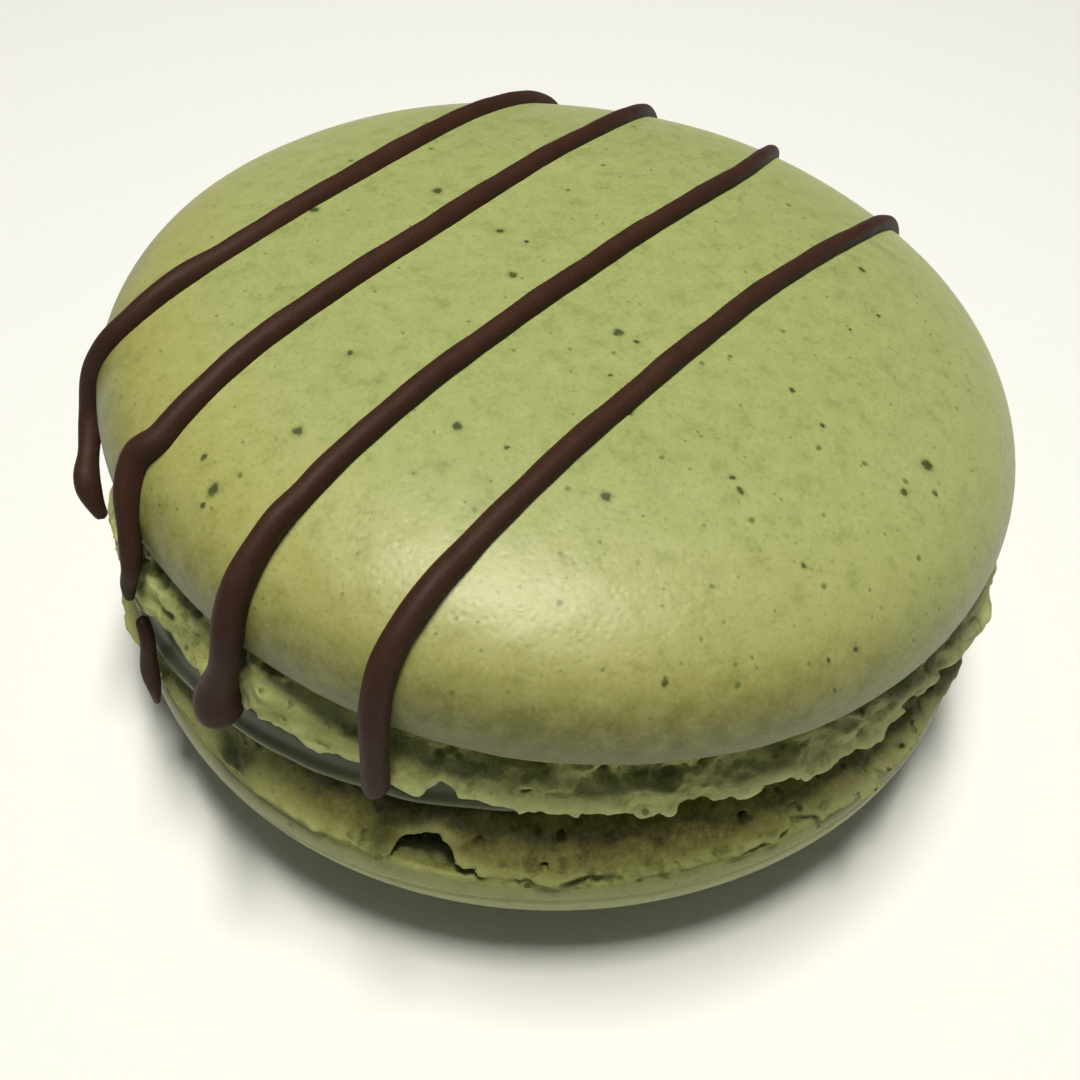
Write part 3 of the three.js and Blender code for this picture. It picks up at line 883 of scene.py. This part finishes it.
def sweep(name, path, widths, stand, seed, seated_from=0.0):
    """Sweeps a round bead; above seated_from its lower half is filled out down to the shell."""
    path, at = evenly(through(path), BEAD_STEP)
    path = eased(path, 5)
    length = at[-1]
    width = eased(widths(at, length)[:, None], 4)[:, 0]
    width = width * (1 + 0.02 * np.sin(at * 0.9 + seed) + 0.015 * np.sin(at * 2.3 + 2 * seed))
    tangent = np.gradient(path, axis=0)
    tangent /= np.linalg.norm(tangent, axis=1)[:, None]
    side = np.cross(tangent, path - SWEEP_CENTRE)
    side /= np.linalg.norm(side, axis=1)[:, None]
    rise = np.cross(side, tangent)
    path = path + side * (0.02 * np.sin(at * 0.9 + seed))[:, None]
    closing = 1.0
    for from_end, end_width in ((at, width[0]), (length - at, width[-1])):
        share = np.minimum(from_end / (end_width * BLUNT), 1)
        closing = closing * np.sqrt(np.clip(1 - (1 - share) ** 2, 0, 1))
    width = width * np.maximum(closing, THINNEST)
    turn = -np.arange(BEAD_SIDES) * 2 * math.pi / BEAD_SIDES
    on_shell = soft_step(seated_from - 1.2, seated_from + 0.6, path[:, 2])
    seated = on_shell[:, None] * (np.sin(turn) < -0.01)
    across = np.sign(np.cos(turn)) * np.abs(np.cos(turn)) ** (1 - 0.6 * seated)
    raised = np.sin(turn) * np.where(np.sin(turn) > 0, BACK_HEIGHT, BELLY_DEPTH)
    rings = (path[:, None, :] + side[:, None, :] * (width[:, None] * across)[..., None]
             + rise[:, None, :] * (width[:, None] * raised)[..., None])
    points = np.vstack([path[:1], rings.reshape(-1, 3), path[-1:]])
    return make_piece(name, points, turned_faces(len(path), BEAD_SIDES), stand)


def line_widths(line):
    """A function that gives a line's half width at any distance from its far end."""
    near, far = np.array(line["near_widths"]), np.array(FAR_WIDTHS)

    def at_distance(at, length):
        from_near = np.interp(length - at, near[:, 0], near[:, 1])
        from_far = np.interp(at, far[:, 0], far[:, 1])
        share = soft_step(0.3, 0.7, at / length)
        return from_far * (1 - share) + from_near * share
    return at_distance


chocolate = [
    sweep(f"chocolate_line_{i + 1}", line_path(TOP, line), line_widths(line), TOP_STAND, 1.7 * i)
    for i, line in enumerate(LINES)
]

# %% The broken end that hangs between the shells
NEVER_SEATED = 99.0  # higher than any of its points, so that it stays round all along
FRAGMENT = [(-146.1, 23.95, 13.1), (-144.6, 24.1, 11.8), (-144.8, 24.3, 10.6),
            (-144.7, 24.45, 9.5), (-144.0, 24.55, 8.4), (-144.7, 24.6, 7.0)]
FRAGMENT_WIDTHS = [(0, 0.34), (0.8, 0.36), (2.0, 0.38), (2.8, 0.4), (3.5, 0.47), (4.2, 0.45),
                   (5.0, 0.31), (6.2, 0.16)]


def fragment_widths(at, length):
    return np.interp(at, *np.array(FRAGMENT_WIDTHS).T)


fragment = sweep("chocolate_fragment", np.array([round_point(*stop) for stop in FRAGMENT]),
                 fragment_widths, UPRIGHT, 0.4, seated_from=NEVER_SEATED)

# %% [markdown]
# ## Writing a finish as arithmetic
#
# A finish is a small program that Blender runs at each point of a surface. Wiring its nodes by
# hand is slow to read, so one class wraps a socket and turns plain arithmetic into Math nodes,
# and a workbench makes any other node from its type, its settings and its inputs. Colours and
# vectors go through Mix and Vector Math, because a Math node would turn a colour grey.

# %% The wire and the workbench
class Wire:
    """A socket with arithmetic. Each operator adds one Math node."""

    def __init__(self, bench, socket):
        self.bench, self.socket = bench, socket

    def output(self, number):
        """Another output of the node that this socket is on."""
        return Wire(self.bench, self.socket.node.outputs[number])

    def math(self, operation, other):
        return self.bench.node("ShaderNodeMath", {"operation": operation}, {0: self, 1: other})

    def flipped(self, operation, other):
        return self.bench.node("ShaderNodeMath", {"operation": operation}, {0: other, 1: self})

    def __add__(self, other):
        return self.math("ADD", other)

    def __sub__(self, other):
        return self.math("SUBTRACT", other)

    def __rsub__(self, other):
        return self.flipped("SUBTRACT", other)

    def __mul__(self, other):
        return self.math("MULTIPLY", other)

    def __truediv__(self, other):
        return self.math("DIVIDE", other)

    def __pow__(self, other):
        return self.math("POWER", other)

    __radd__, __rmul__ = __add__, __mul__

    def between(self, low, high):
        """0 at low, 1 at high and smooth in between; low may be the larger number."""
        settings = {"interpolation_type": "SMOOTHSTEP"}
        inputs = {0: self, 1: low, 2: high}
        if low > high:
            inputs = {0: self, 1: high, 2: low, 3: 1.0, 4: 0.0}
        return self.bench.node("ShaderNodeMapRange", settings, inputs)


class Bench:
    """Where the finish of one material, or of the room's light, is put together."""

    def __init__(self, name, room=None):
        self.material = room or bpy.data.materials.new(name)
        self.material.use_nodes = True
        self.tree = self.material.node_tree
        self.tree.nodes.clear()

    def node(self, kind, settings=None, inputs=None, out=0):
        """Any node, from its type, its settings and what goes into its sockets."""
        made = self.tree.nodes.new(kind)
        for key, value in (settings or {}).items():
            setattr(made, key, value)
        for key, value in (inputs or {}).items():
            if isinstance(value, Wire):
                self.tree.links.new(value.socket, made.inputs[key])
            else:
                made.inputs[key].default_value = value
        return Wire(self, made.outputs[out]) if made.outputs else None

    def mix(self, share, a, b, way="MIX"):
        a, b = ((*c, 1.0) if isinstance(c, tuple) else c for c in (a, b))
        return self.node("ShaderNodeMix", {"data_type": "RGBA", "blend_type": way},
                         {0: share, 6: a, 7: b}, out=2)

    def shell_place(self):
        """The place on the shell, dome up and in mm, that is stored on each point."""
        return self.node("ShaderNodeAttribute", {"attribute_name": "shell_place"}, out=1)

    def object_place(self):
        """The place in mm from the object's own coordinates, for pieces that stand upright."""
        own = self.node("ShaderNodeTexCoord", out=3)
        return self.node("ShaderNodeVectorMath", {"operation": "SCALE"}, {0: own, "Scale": 1 / MM})

    def apart(self, vector):
        """The three numbers of a vector or a colour."""
        first = self.node("ShaderNodeSeparateXYZ", None, {0: vector})
        return first, first.output(1), first.output(2)

    def dots(self, place, scale, sizes, share, ragged):
        """A dot in some cells of a Voronoi pattern.

        sizes are the radii in mm where a dot is gone and where it is solid, share is that of the
        cells without one, and ragged is what moves its edge.
        """
        cell = self.node("ShaderNodeTexVoronoi", None, {"Vector": place, "Scale": scale})
        chosen = self.apart(cell.output(1))[0]
        return (cell / scale + ragged).between(*sizes) * (chosen - share).between(0.0, 0.05)

    def noise(self, place, scale, detail=2.0, rough=0.5):
        return self.node("ShaderNodeTexNoise", None,
                         {"Vector": place, "Scale": scale, "Detail": detail, "Roughness": rough})

    def bumped(self, height, strength, distance):
        return self.node("ShaderNodeBump", None,
                         {"Height": height, "Strength": strength, "Distance": distance * MM})

    def finish(self, colour, roughness, normal, **steady):
        inputs = {"Base Color": colour, "Roughness": roughness, "Normal": normal}
        inputs.update({key.replace("_", " "): value for key, value in steady.items()})
        surface = self.node("ShaderNodeBsdfPrincipled", None, inputs)
        self.node("ShaderNodeOutputMaterial", None, {"Surface": surface})
        return self.material


def paint(*rgb):
    """A colour as a paint chart gives it, 0 to 255, made into Blender's linear numbers."""
    return tuple(((c / 255 + 0.055) / 1.055) ** 2.4 if c > 10 else c / 255 / 12.92 for c in rgb)


# %% [markdown]
# ## The skin's finish
#
# A baked skin is satin, a fine sage green on top that browns to olive where the oven's heat caught
# the front and left of the rim. Towards the rim it is painted lighter, a painted sheen for the
# room's light that it reflects, and the low front of the rim is darker, browning and painted shade
# together.
# The underside of the lip is darker again, painted shade with a little grey of painted reflection,
# and the lower skin is painted darker all over as painted shade. It is peppered with dark specks of
# ground nut, a few of them large, and its surface has the faint dimples of orange peel, which break
# up the light that it reflects. The place stored on each point tells the finish how far out and how
# high it is.

# %% Finish of the two skins
# Single specks: place on the upper dome, in mm, and size.
SPECKS = [
    (-7.4, 4.7, 0.42), (-13.5, 3.0, 0.4), (-4.0, 1.3, 0.26), (-2.6, 0.6, 0.2), (-3.2, -2.2, 0.4),
    (1.9, -5.8, 0.36), (2.7, -6.3, 0.22), (1.5, -8.7, 0.16), (2.4, -10.8, 0.26),
    (1.4, -15.3, 0.36), (-5.1, -12.2, 0.28), (-2.9, -13.2, 0.2), (14.9, 2.7, 0.3),
    (15.2, -1.1, 0.16), (13.4, -2.9, 0.16), (10.0, -8.0, 0.22), (16.5, -10.2, 0.46),
    (15.1, -12.1, 0.3), (16.8, -11.5, 0.22), (6.9, -13.6, 0.24), (7.2, -14.2, 0.24),
    (10.0, -17.0, 0.24), (11.3, -9.8, 0.2), (4.2, -22.2, 0.2), (-15.4, -14.4, 0.42),
    (-16.1, -12.8, 0.22), (-15.8, -14.9, 0.2), (-12.0, -12.3, 0.4), (-10.3, -8.0, 0.24),
    (12.6, -19.3, 0.2), (11.3, -20.1, 0.15), (11.8, -20.7, 0.12),
]
# Fine pepper: scale of the cells, size of a dot in mm, share of the cells without one, strength.
PEPPER = [(0.5, 0.22, 0.4, 0.85), (1.2, 0.13, 0.35, 0.6)]
RAGGED = 0.34  # how far noise moves the edge of a speck, in mm
# The darkest olive is browning and painted shade on the low front of the rim.
SAGE, OLIVE, BROWNED_AND_SHADED = paint(153, 161, 94), paint(164, 162, 85), paint(100, 99, 34)
# The lip's colour is painted shade under the rim, a little grey as a painted reflection of the
# floor.
LIP_SHADE, SPECK_GREEN, SPECK_DARK = paint(114, 119, 72), paint(92, 104, 48), paint(46, 52, 14)


def speck_mask(bench, place, specks):
    """1 in the middle of each speck, fading out over a ragged edge."""
    ragged = bench.node("ShaderNodeTexNoise", None,
                        {"Vector": place, "Scale": 2.6, "Detail": 3.0}, out=1)
    moved = bench.node("ShaderNodeVectorMath", {"operation": "MULTIPLY_ADD"},
                       {0: ragged, 1: (RAGGED, RAGGED, 0.0), 2: place})
    flat = bench.node("ShaderNodeVectorMath", {"operation": "MULTIPLY"}, {0: moved, 1: (1, 1, 0)})
    dark = None
    for x, y, size in specks:
        away = bench.node("ShaderNodeVectorMath", {"operation": "DISTANCE"},
                          {0: flat, 1: (x + RAGGED / 2, y + RAGGED / 2, 0.0)}, out=1)
        spot = away.between(size * 1.3, size * 0.15)
        dark = spot if dark is None else dark.math("MAXIMUM", spot)
    return dark


def skin_finish(name, specks, browning, lip_top, lip_shade_share, shade):
    """browning says how strongly the rim browned, lip_top and pale where and how strongly the
    underside of its lip is painted darker as painted shade, and shade multiplies the whole colour
    as painted shade, with less blue against the bluish fill light."""
    bench = Bench(name)
    place = bench.shell_place()
    x, y, z = bench.apart(place)
    reach = (x * x + y * y) ** 0.5
    cloud = bench.noise(place, 0.22, 3.0, 0.55)
    mottle = bench.noise(place, 0.95, 4.0, 0.6)
    grain = bench.noise(place, 4.5, 2.0, 0.6)
    # The browned side: how far a place lies towards the front left.
    lean = (x * -0.6 + y * -0.72) / 24.0
    browned = reach.between(12.0, 24.5) * (lean + 0.45).between(0.0, 1.15)
    browned = browned * browning + (cloud - 0.5) * 0.5 * reach.between(6.0, 20.0)
    # Painted sheen: the skin is painted lighter towards the rim, and the olive below is lighter
    # too, standing in for room light reflected there.
    colour = bench.mix(reach.between(13.0, 23.0) * 0.6, SAGE, paint(172, 180, 112))
    colour = bench.mix(browned.between(0.05, 1.0), colour, OLIVE)
    # The low front of the rim is darker: browning and painted shade where less light reaches it.
    deep = reach.between(21.0, 24.2) * z.between(5.0, 0.8) * (lean + 0.75).between(0.1, 1.5)
    colour = bench.mix(deep * browning * 0.95, colour, BROWNED_AND_SHADED)
    colour = bench.mix((mottle - 0.5) * 0.8 + 0.11, colour, paint(188, 190, 122))
    colour = bench.mix((0.47 - mottle).between(0.0, 0.22) * 0.22, colour, SPECK_GREEN)
    colour = bench.mix((grain - 0.5).between(0.0, 0.3) * 0.18, colour, paint(186, 190, 128))
    colour = bench.mix((0.5 - grain).between(0.0, 0.3) * 0.3, colour, SPECK_GREEN)
    # Painted shade on the underside of the lip, a little grey as a painted reflection of the pale
    # floor.
    lip = z.between(lip_top, lip_top - 1.4) * reach.between(22.6, 23.8)
    colour = bench.mix(lip * lip_shade_share, colour, LIP_SHADE)
    for scale, size, share, strength in PEPPER:
        dot = bench.dots(place, scale, (size, size * 0.35), share, (grain - 0.5) * 0.12)
        colour = bench.mix(dot * strength, colour, SPECK_GREEN)
    if specks:
        dark = speck_mask(bench, place, specks)
        core = dark.between(0.5, 0.9) * (grain + 0.25).between(0.4, 0.75)
        colour = bench.mix(core * 0.78, bench.mix(dark * 0.65, colour, SPECK_GREEN), SPECK_DARK)
    # Painted shade: shade multiplies the whole colour; on the lower skin it darkens it and takes
    # out blue against the bluish fill light.
    colour = bench.mix(1.0, colour, shade, "MULTIPLY")
    dimples = bench.noise(place, 0.5, 1.0, 0.5)
    peel = bench.noise(place, 1.15, 1.5, 0.5)
    pores = bench.node("ShaderNodeTexVoronoi", None, {"Vector": place, "Scale": 2.2})
    relief = dimples + peel * 0.32 + grain * 0.09 + pores.between(0.0, 0.5) * 0.12
    normal = bench.bumped(relief, 0.6, 0.11)
    roughness = 0.36 + mottle * 0.12 + lip * 0.12
    return bench.finish(colour, roughness, normal, Specular_IOR_Level=0.52)


skin_top_finish = skin_finish("skin_of_upper_shell", SPECKS, 1.0, 0.8, 0.75, (1.0, 1.0, 1.0))
# The lower skin is painted darker all over, as painted shade.
skin_bottom_finish = skin_finish("skin_of_lower_shell", [], 0.8, 0.2, 0.15, (0.78, 0.735, 0.64))
print("specks in place:", len(SPECKS))

# %% [markdown]
# ## The foot's finish
#
# Inside, the batter is paler and matt, like dry sponge. Torn edges and the crests of lumps are a
# light khaki, partly crust that baked light and partly painted light, hollows a deeper green,
# partly moist batter and partly painted shade, and the underside that faces the filling took on
# some brown.
# Towards its crust edge each foot is painted lighter, partly light crust and partly painted light.
# The right of both feet is painted greyer as a painted sheen, and the left of the lower one lighter
# as painted light. The lower foot's colours are all darker than the upper's, as painted shade. The
# share of batter stored on each point chooses between edge and hollow, and fine grain from the
# ground almonds is added on top.

# %% Finish of the feet
TOP_CRUMB = {
    "plain": paint(162, 165, 90), "light": paint(200, 203, 136), "deep": paint(92, 97, 31),
    "toasted": paint(116, 100, 44), "toasted_over": (-5.2, -6.2), "edge_over": (-3.8, -4.8),
    "shut_in": (0.48, 0.86), "painted_light_left": 0.0,
}
# The lower foot's colours are darker than the upper's throughout: painted shade under the upper
# shell.
SHADED_BOTTOM_CRUMB = {
    "plain": paint(128, 130, 62), "light": paint(170, 172, 104), "deep": paint(50, 53, 13),
    "toasted": paint(106, 84, 28), "toasted_over": (-1.9, -2.5), "edge_over": (-2.1, -1.7),
    "shut_in": (0.55, 0.9), "painted_light_left": 0.65,
}
# A painted sheen: the grey that the right of both feet is painted towards.
PAINTED_GREY_SHEEN = paint(156, 154, 116)


def foot_finish(name, crumb):
    """toasted_over and edge_over are heights over which a colour comes in, shut_in the shares of
    batter over which a hollow turns deep as painted shade, and painted_light_left how much of the
    light colour is painted on the left as painted light."""
    bench = Bench(name)
    place = bench.shell_place()
    hollow = bench.node("ShaderNodeAttribute", {"attribute_name": "hollow"}, out=2)
    x, _, z = bench.apart(place)
    patch = bench.noise(place, 0.55, 3.0, 0.6)
    blot = bench.noise(place, 1.15, 3.0, 0.6)
    grain = bench.noise(place, 3.2, 3.0, 0.65)
    fine = bench.noise(place, 9.0, 2.0, 0.6)
    colour = bench.mix((patch - 0.5) * 1.3 + 0.25, crumb["plain"], crumb["light"])
    baked = z.between(*crumb["toasted_over"]) * (patch + 0.1).between(0.3, 0.7)
    colour = bench.mix(baked * 0.6, colour, crumb["toasted"])
    colour = bench.mix((0.5 - blot).between(0.0, 0.16) * 0.5, colour, crumb["deep"])
    colour = bench.mix((grain - 0.5).between(0.0, 0.16) * 0.3, colour, crumb["light"])
    # Painted shade and light: hollows turn deep, partly moist batter and partly painted shade, and
    # edges and crests lighter, partly crust and partly painted light.
    shut = hollow + (grain - 0.5) * 0.2
    colour = bench.mix(shut.between(*crumb["shut_in"]), colour, crumb["deep"])
    colour = bench.mix(shut.between(0.43, 0.2) * 0.7, colour, crumb["light"])
    # Painted light: the left of the lower foot is painted lighter, where more light reaches it.
    colour = bench.mix(x.between(-8.0, -16.0) * crumb["painted_light_left"], colour, crumb["light"])
    # Painted sheen: the right of both feet is painted greyer.
    colour = bench.mix(x.between(9.0, 21.0) * 0.5, colour, PAINTED_GREY_SHEEN)
    # Lighter towards the crust edge: crust that baked light, and painted light where the face
    # catches more light.
    edge = z.between(*crumb["edge_over"]) * (blot + 0.1).between(0.4, 0.7)
    colour = bench.mix(edge * 0.5, colour, crumb["light"])
    colour = bench.mix((0.42 - grain).between(0.0, 0.16) * 0.4, colour, crumb["deep"])
    dot = bench.dots(place, 0.8, (0.26, 0.1), 0.4, (grain - 0.5) * 0.3)
    colour = bench.mix(dot * 0.8, colour, crumb["deep"])
    normal = bench.bumped(blot * 0.5 + grain * 0.45 + fine * 0.3, 0.65, 0.22)
    roughness = 0.66 + (patch - 0.5) * 0.3
    return bench.finish(colour, roughness, normal, Specular_IOR_Level=0.12)


foot_top_finish = foot_finish("crumb_of_upper_foot", TOP_CRUMB)
foot_bottom_finish = foot_finish("crumb_of_lower_foot", SHADED_BOTTOM_CRUMB)

# %% [markdown]
# ## The filling's and the chocolate's finishes
#
# The filling is a smooth green cream with a slight gloss, and the lip low on its side is painted
# lighter as a painted highlight. The chocolate set slowly, so it is satin rather than shiny, a dark
# brown with a breath of red, rubbed a little paler here and there, and its surface has the shallow
# ripples of something that cooled while it moved.

# %% Finish of the filling and the chocolate
def filling_finish():
    bench = Bench("pistachio_filling")
    place = bench.object_place()
    z = bench.apart(place)[2]
    cloud = bench.noise(place, 0.5, 3.0, 0.5)
    grain = bench.noise(place, 4.0, 2.0, 0.5)
    colour = bench.mix((cloud - 0.5) * 0.8 + 0.3, paint(76, 82, 52), paint(94, 99, 66))
    # Painted highlight: the lip low on the side is painted lighter where it catches the light.
    colour = bench.mix(z.between(10.95, 10.4) * 0.6, colour, paint(150, 156, 118))
    colour = bench.mix((grain - 0.62).between(0.0, 0.08) * 0.6, colour, paint(70, 78, 48))
    normal = bench.bumped(cloud * 0.4 + grain * 0.2, 0.4, 0.15)
    return bench.finish(colour, 0.45 + cloud * 0.15, normal, Specular_IOR_Level=0.35)


def chocolate_finish():
    bench = Bench("dark_chocolate")
    place = bench.object_place()
    cloud = bench.noise(place, 0.8, 3.0, 0.5)
    grain = bench.noise(place, 7.0, 2.0, 0.6)
    colour = bench.mix(cloud, paint(50, 30, 20), paint(68, 44, 31))
    colour = bench.mix((grain - 0.62).between(0.0, 0.1) * 0.3, colour, paint(104, 74, 58))
    normal = bench.bumped(cloud * 0.7 + grain * 0.12, 0.45, 0.12)
    return bench.finish(colour, 0.5 + cloud * 0.14, normal, Specular_IOR_Level=0.16)


filling_look, chocolate_look = filling_finish(), chocolate_finish()

# %% [markdown]
# ## Each piece gets its finish and its place in the frame
#
# Nothing on a biscuit moves, so every piece rides on the one body. Each piece also takes its named
# finish and hides the part of the plain model that it stands for.

# %% Dress and attach the pieces
def attach(piece, finish, node):
    piece.data.materials.append(finish)
    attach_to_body(piece, "root")
    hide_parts(node)


attach(top_skin, skin_top_finish, "shell_top")
attach(top_foot, foot_top_finish, "shell_top")
attach(bottom_skin, skin_bottom_finish, "shell_bottom")
attach(bottom_foot, foot_bottom_finish, "shell_bottom")
attach(filling_layer, filling_look, "filling")
for bead in chocolate:
    attach(bead, chocolate_look, "shell_top")
attach(fragment, chocolate_look, "shell_bottom")

# %% [markdown]
# ## The table, the light and the camera
#
# The macaron lies on pale paper under a wide soft lamp, almost straight above it, as in a bright
# room. A second, narrow one gives only the gleam. The camera looks down from close by, about as
# a phone would, turned slightly to one side.

# %% Floor
FLOOR_HALF = 0.32  # metres
sheet = bpy.data.meshes.new("pale_floor")
sheet.from_pydata([(-FLOOR_HALF, -FLOOR_HALF, 0), (FLOOR_HALF, -FLOOR_HALF, 0),
                   (FLOOR_HALF, FLOOR_HALF, 0), (-FLOOR_HALF, FLOOR_HALF, 0)], [], [(0, 1, 2, 3)])
pale_floor = bpy.data.objects.new("pale_floor", sheet)
bpy.context.scene.collection.objects.link(pale_floor)
bench = Bench("pale_paper")
fibre = bench.noise(bench.object_place(), 0.9, 3.0, 0.5)
white = bench.mix(fibre, paint(243, 243, 232), paint(246, 246, 236))
sheet.materials.append(bench.finish(white, 0.7, bench.bumped(fibre, 0.1, 0.05),
                                    Specular_IOR_Level=0.2))

# %% Light
world = bpy.data.worlds.new("room")
bench = Bench("room", world)
fill, backdrop = (
    bench.node("ShaderNodeBackground", None, {"Color": colour, "Strength": strength})
    for colour, strength in (((0.84, 0.9, 1.9, 1), 0.047), ((1.0, 0.99, 0.95, 1), 0.75)))
seen = bench.node("ShaderNodeLightPath")
mixed = bench.node("ShaderNodeMixShader", None, {0: seen, 1: fill, 2: backdrop})
bench.node("ShaderNodeOutputWorld", None, {"Surface": mixed})
bpy.context.scene.world = world


def soft_lamp(name, towards, distance, size, power, colour):
    """A lamp of a size in metres that hangs at a distance, that way, and looks at the macaron."""
    lamp = bpy.data.lights.new(name, "AREA")
    lamp.shape, lamp.size, lamp.size_y = "RECTANGLE", *size
    lamp.energy, lamp.color = power, colour
    holder = bpy.data.objects.new(name, lamp)
    way = Vector(towards).normalized()
    holder.location = way * distance + Vector((0, 0, 0.01))
    holder.rotation_euler = way.to_track_quat("Z", "Y").to_euler()
    bpy.context.scene.collection.objects.link(holder)
    return holder


# The wide lamp gives light and shadow but no gleam, and the narrow one the other way round.
wide = soft_lamp("ceiling_lamp", (0.002, -0.02, 1.0), 0.35, (0.062, 0.157), 1.41,
                 (1.0, 0.985, 0.95))
wide.visible_glossy = False
narrow = soft_lamp("window_strip", (-0.06, -0.26, 0.96), 0.6, (0.28, 0.09), 4.2,
                   (1.0, 0.98, 0.84))
narrow.visible_diffuse = False

# %% Camera
# Angles in radians, distance and aim in mm.
FOCAL_PIXELS, FRAME_PIXELS, SENSOR = 1287.1, 1080, 36.0
LOOK_DOWN, ROLL, DISTANCE = 0.830, -0.04, 78.93
AIM = Vector((-0.539, 0.686, 4.361))
forward = Vector((0, math.cos(LOOK_DOWN), -math.sin(LOOK_DOWN)))
level_up = Vector((0, math.sin(LOOK_DOWN), math.cos(LOOK_DOWN)))
level_right = Vector((1, 0, 0))
right = level_right * math.cos(ROLL) - level_up * math.sin(ROLL)
up = level_right * math.sin(ROLL) + level_up * math.cos(ROLL)
lens = bpy.data.cameras.new("camera")
lens.sensor_fit, lens.sensor_width = "HORIZONTAL", SENSOR
lens.lens = FOCAL_PIXELS / FRAME_PIXELS * SENSOR
lens.clip_start, lens.clip_end = 0.005, 10.0
camera = bpy.data.objects.new("camera", lens)
camera.matrix_world = (Matrix.Translation((AIM - forward * DISTANCE) * MM)
                       @ Matrix((right, up, -forward)).transposed().to_4x4())
bpy.context.scene.collection.objects.link(camera)
bpy.context.scene.camera = camera
bpy.context.scene.view_settings.view_transform = "Standard"
print("lens, mm:", round(lens.lens, 2))
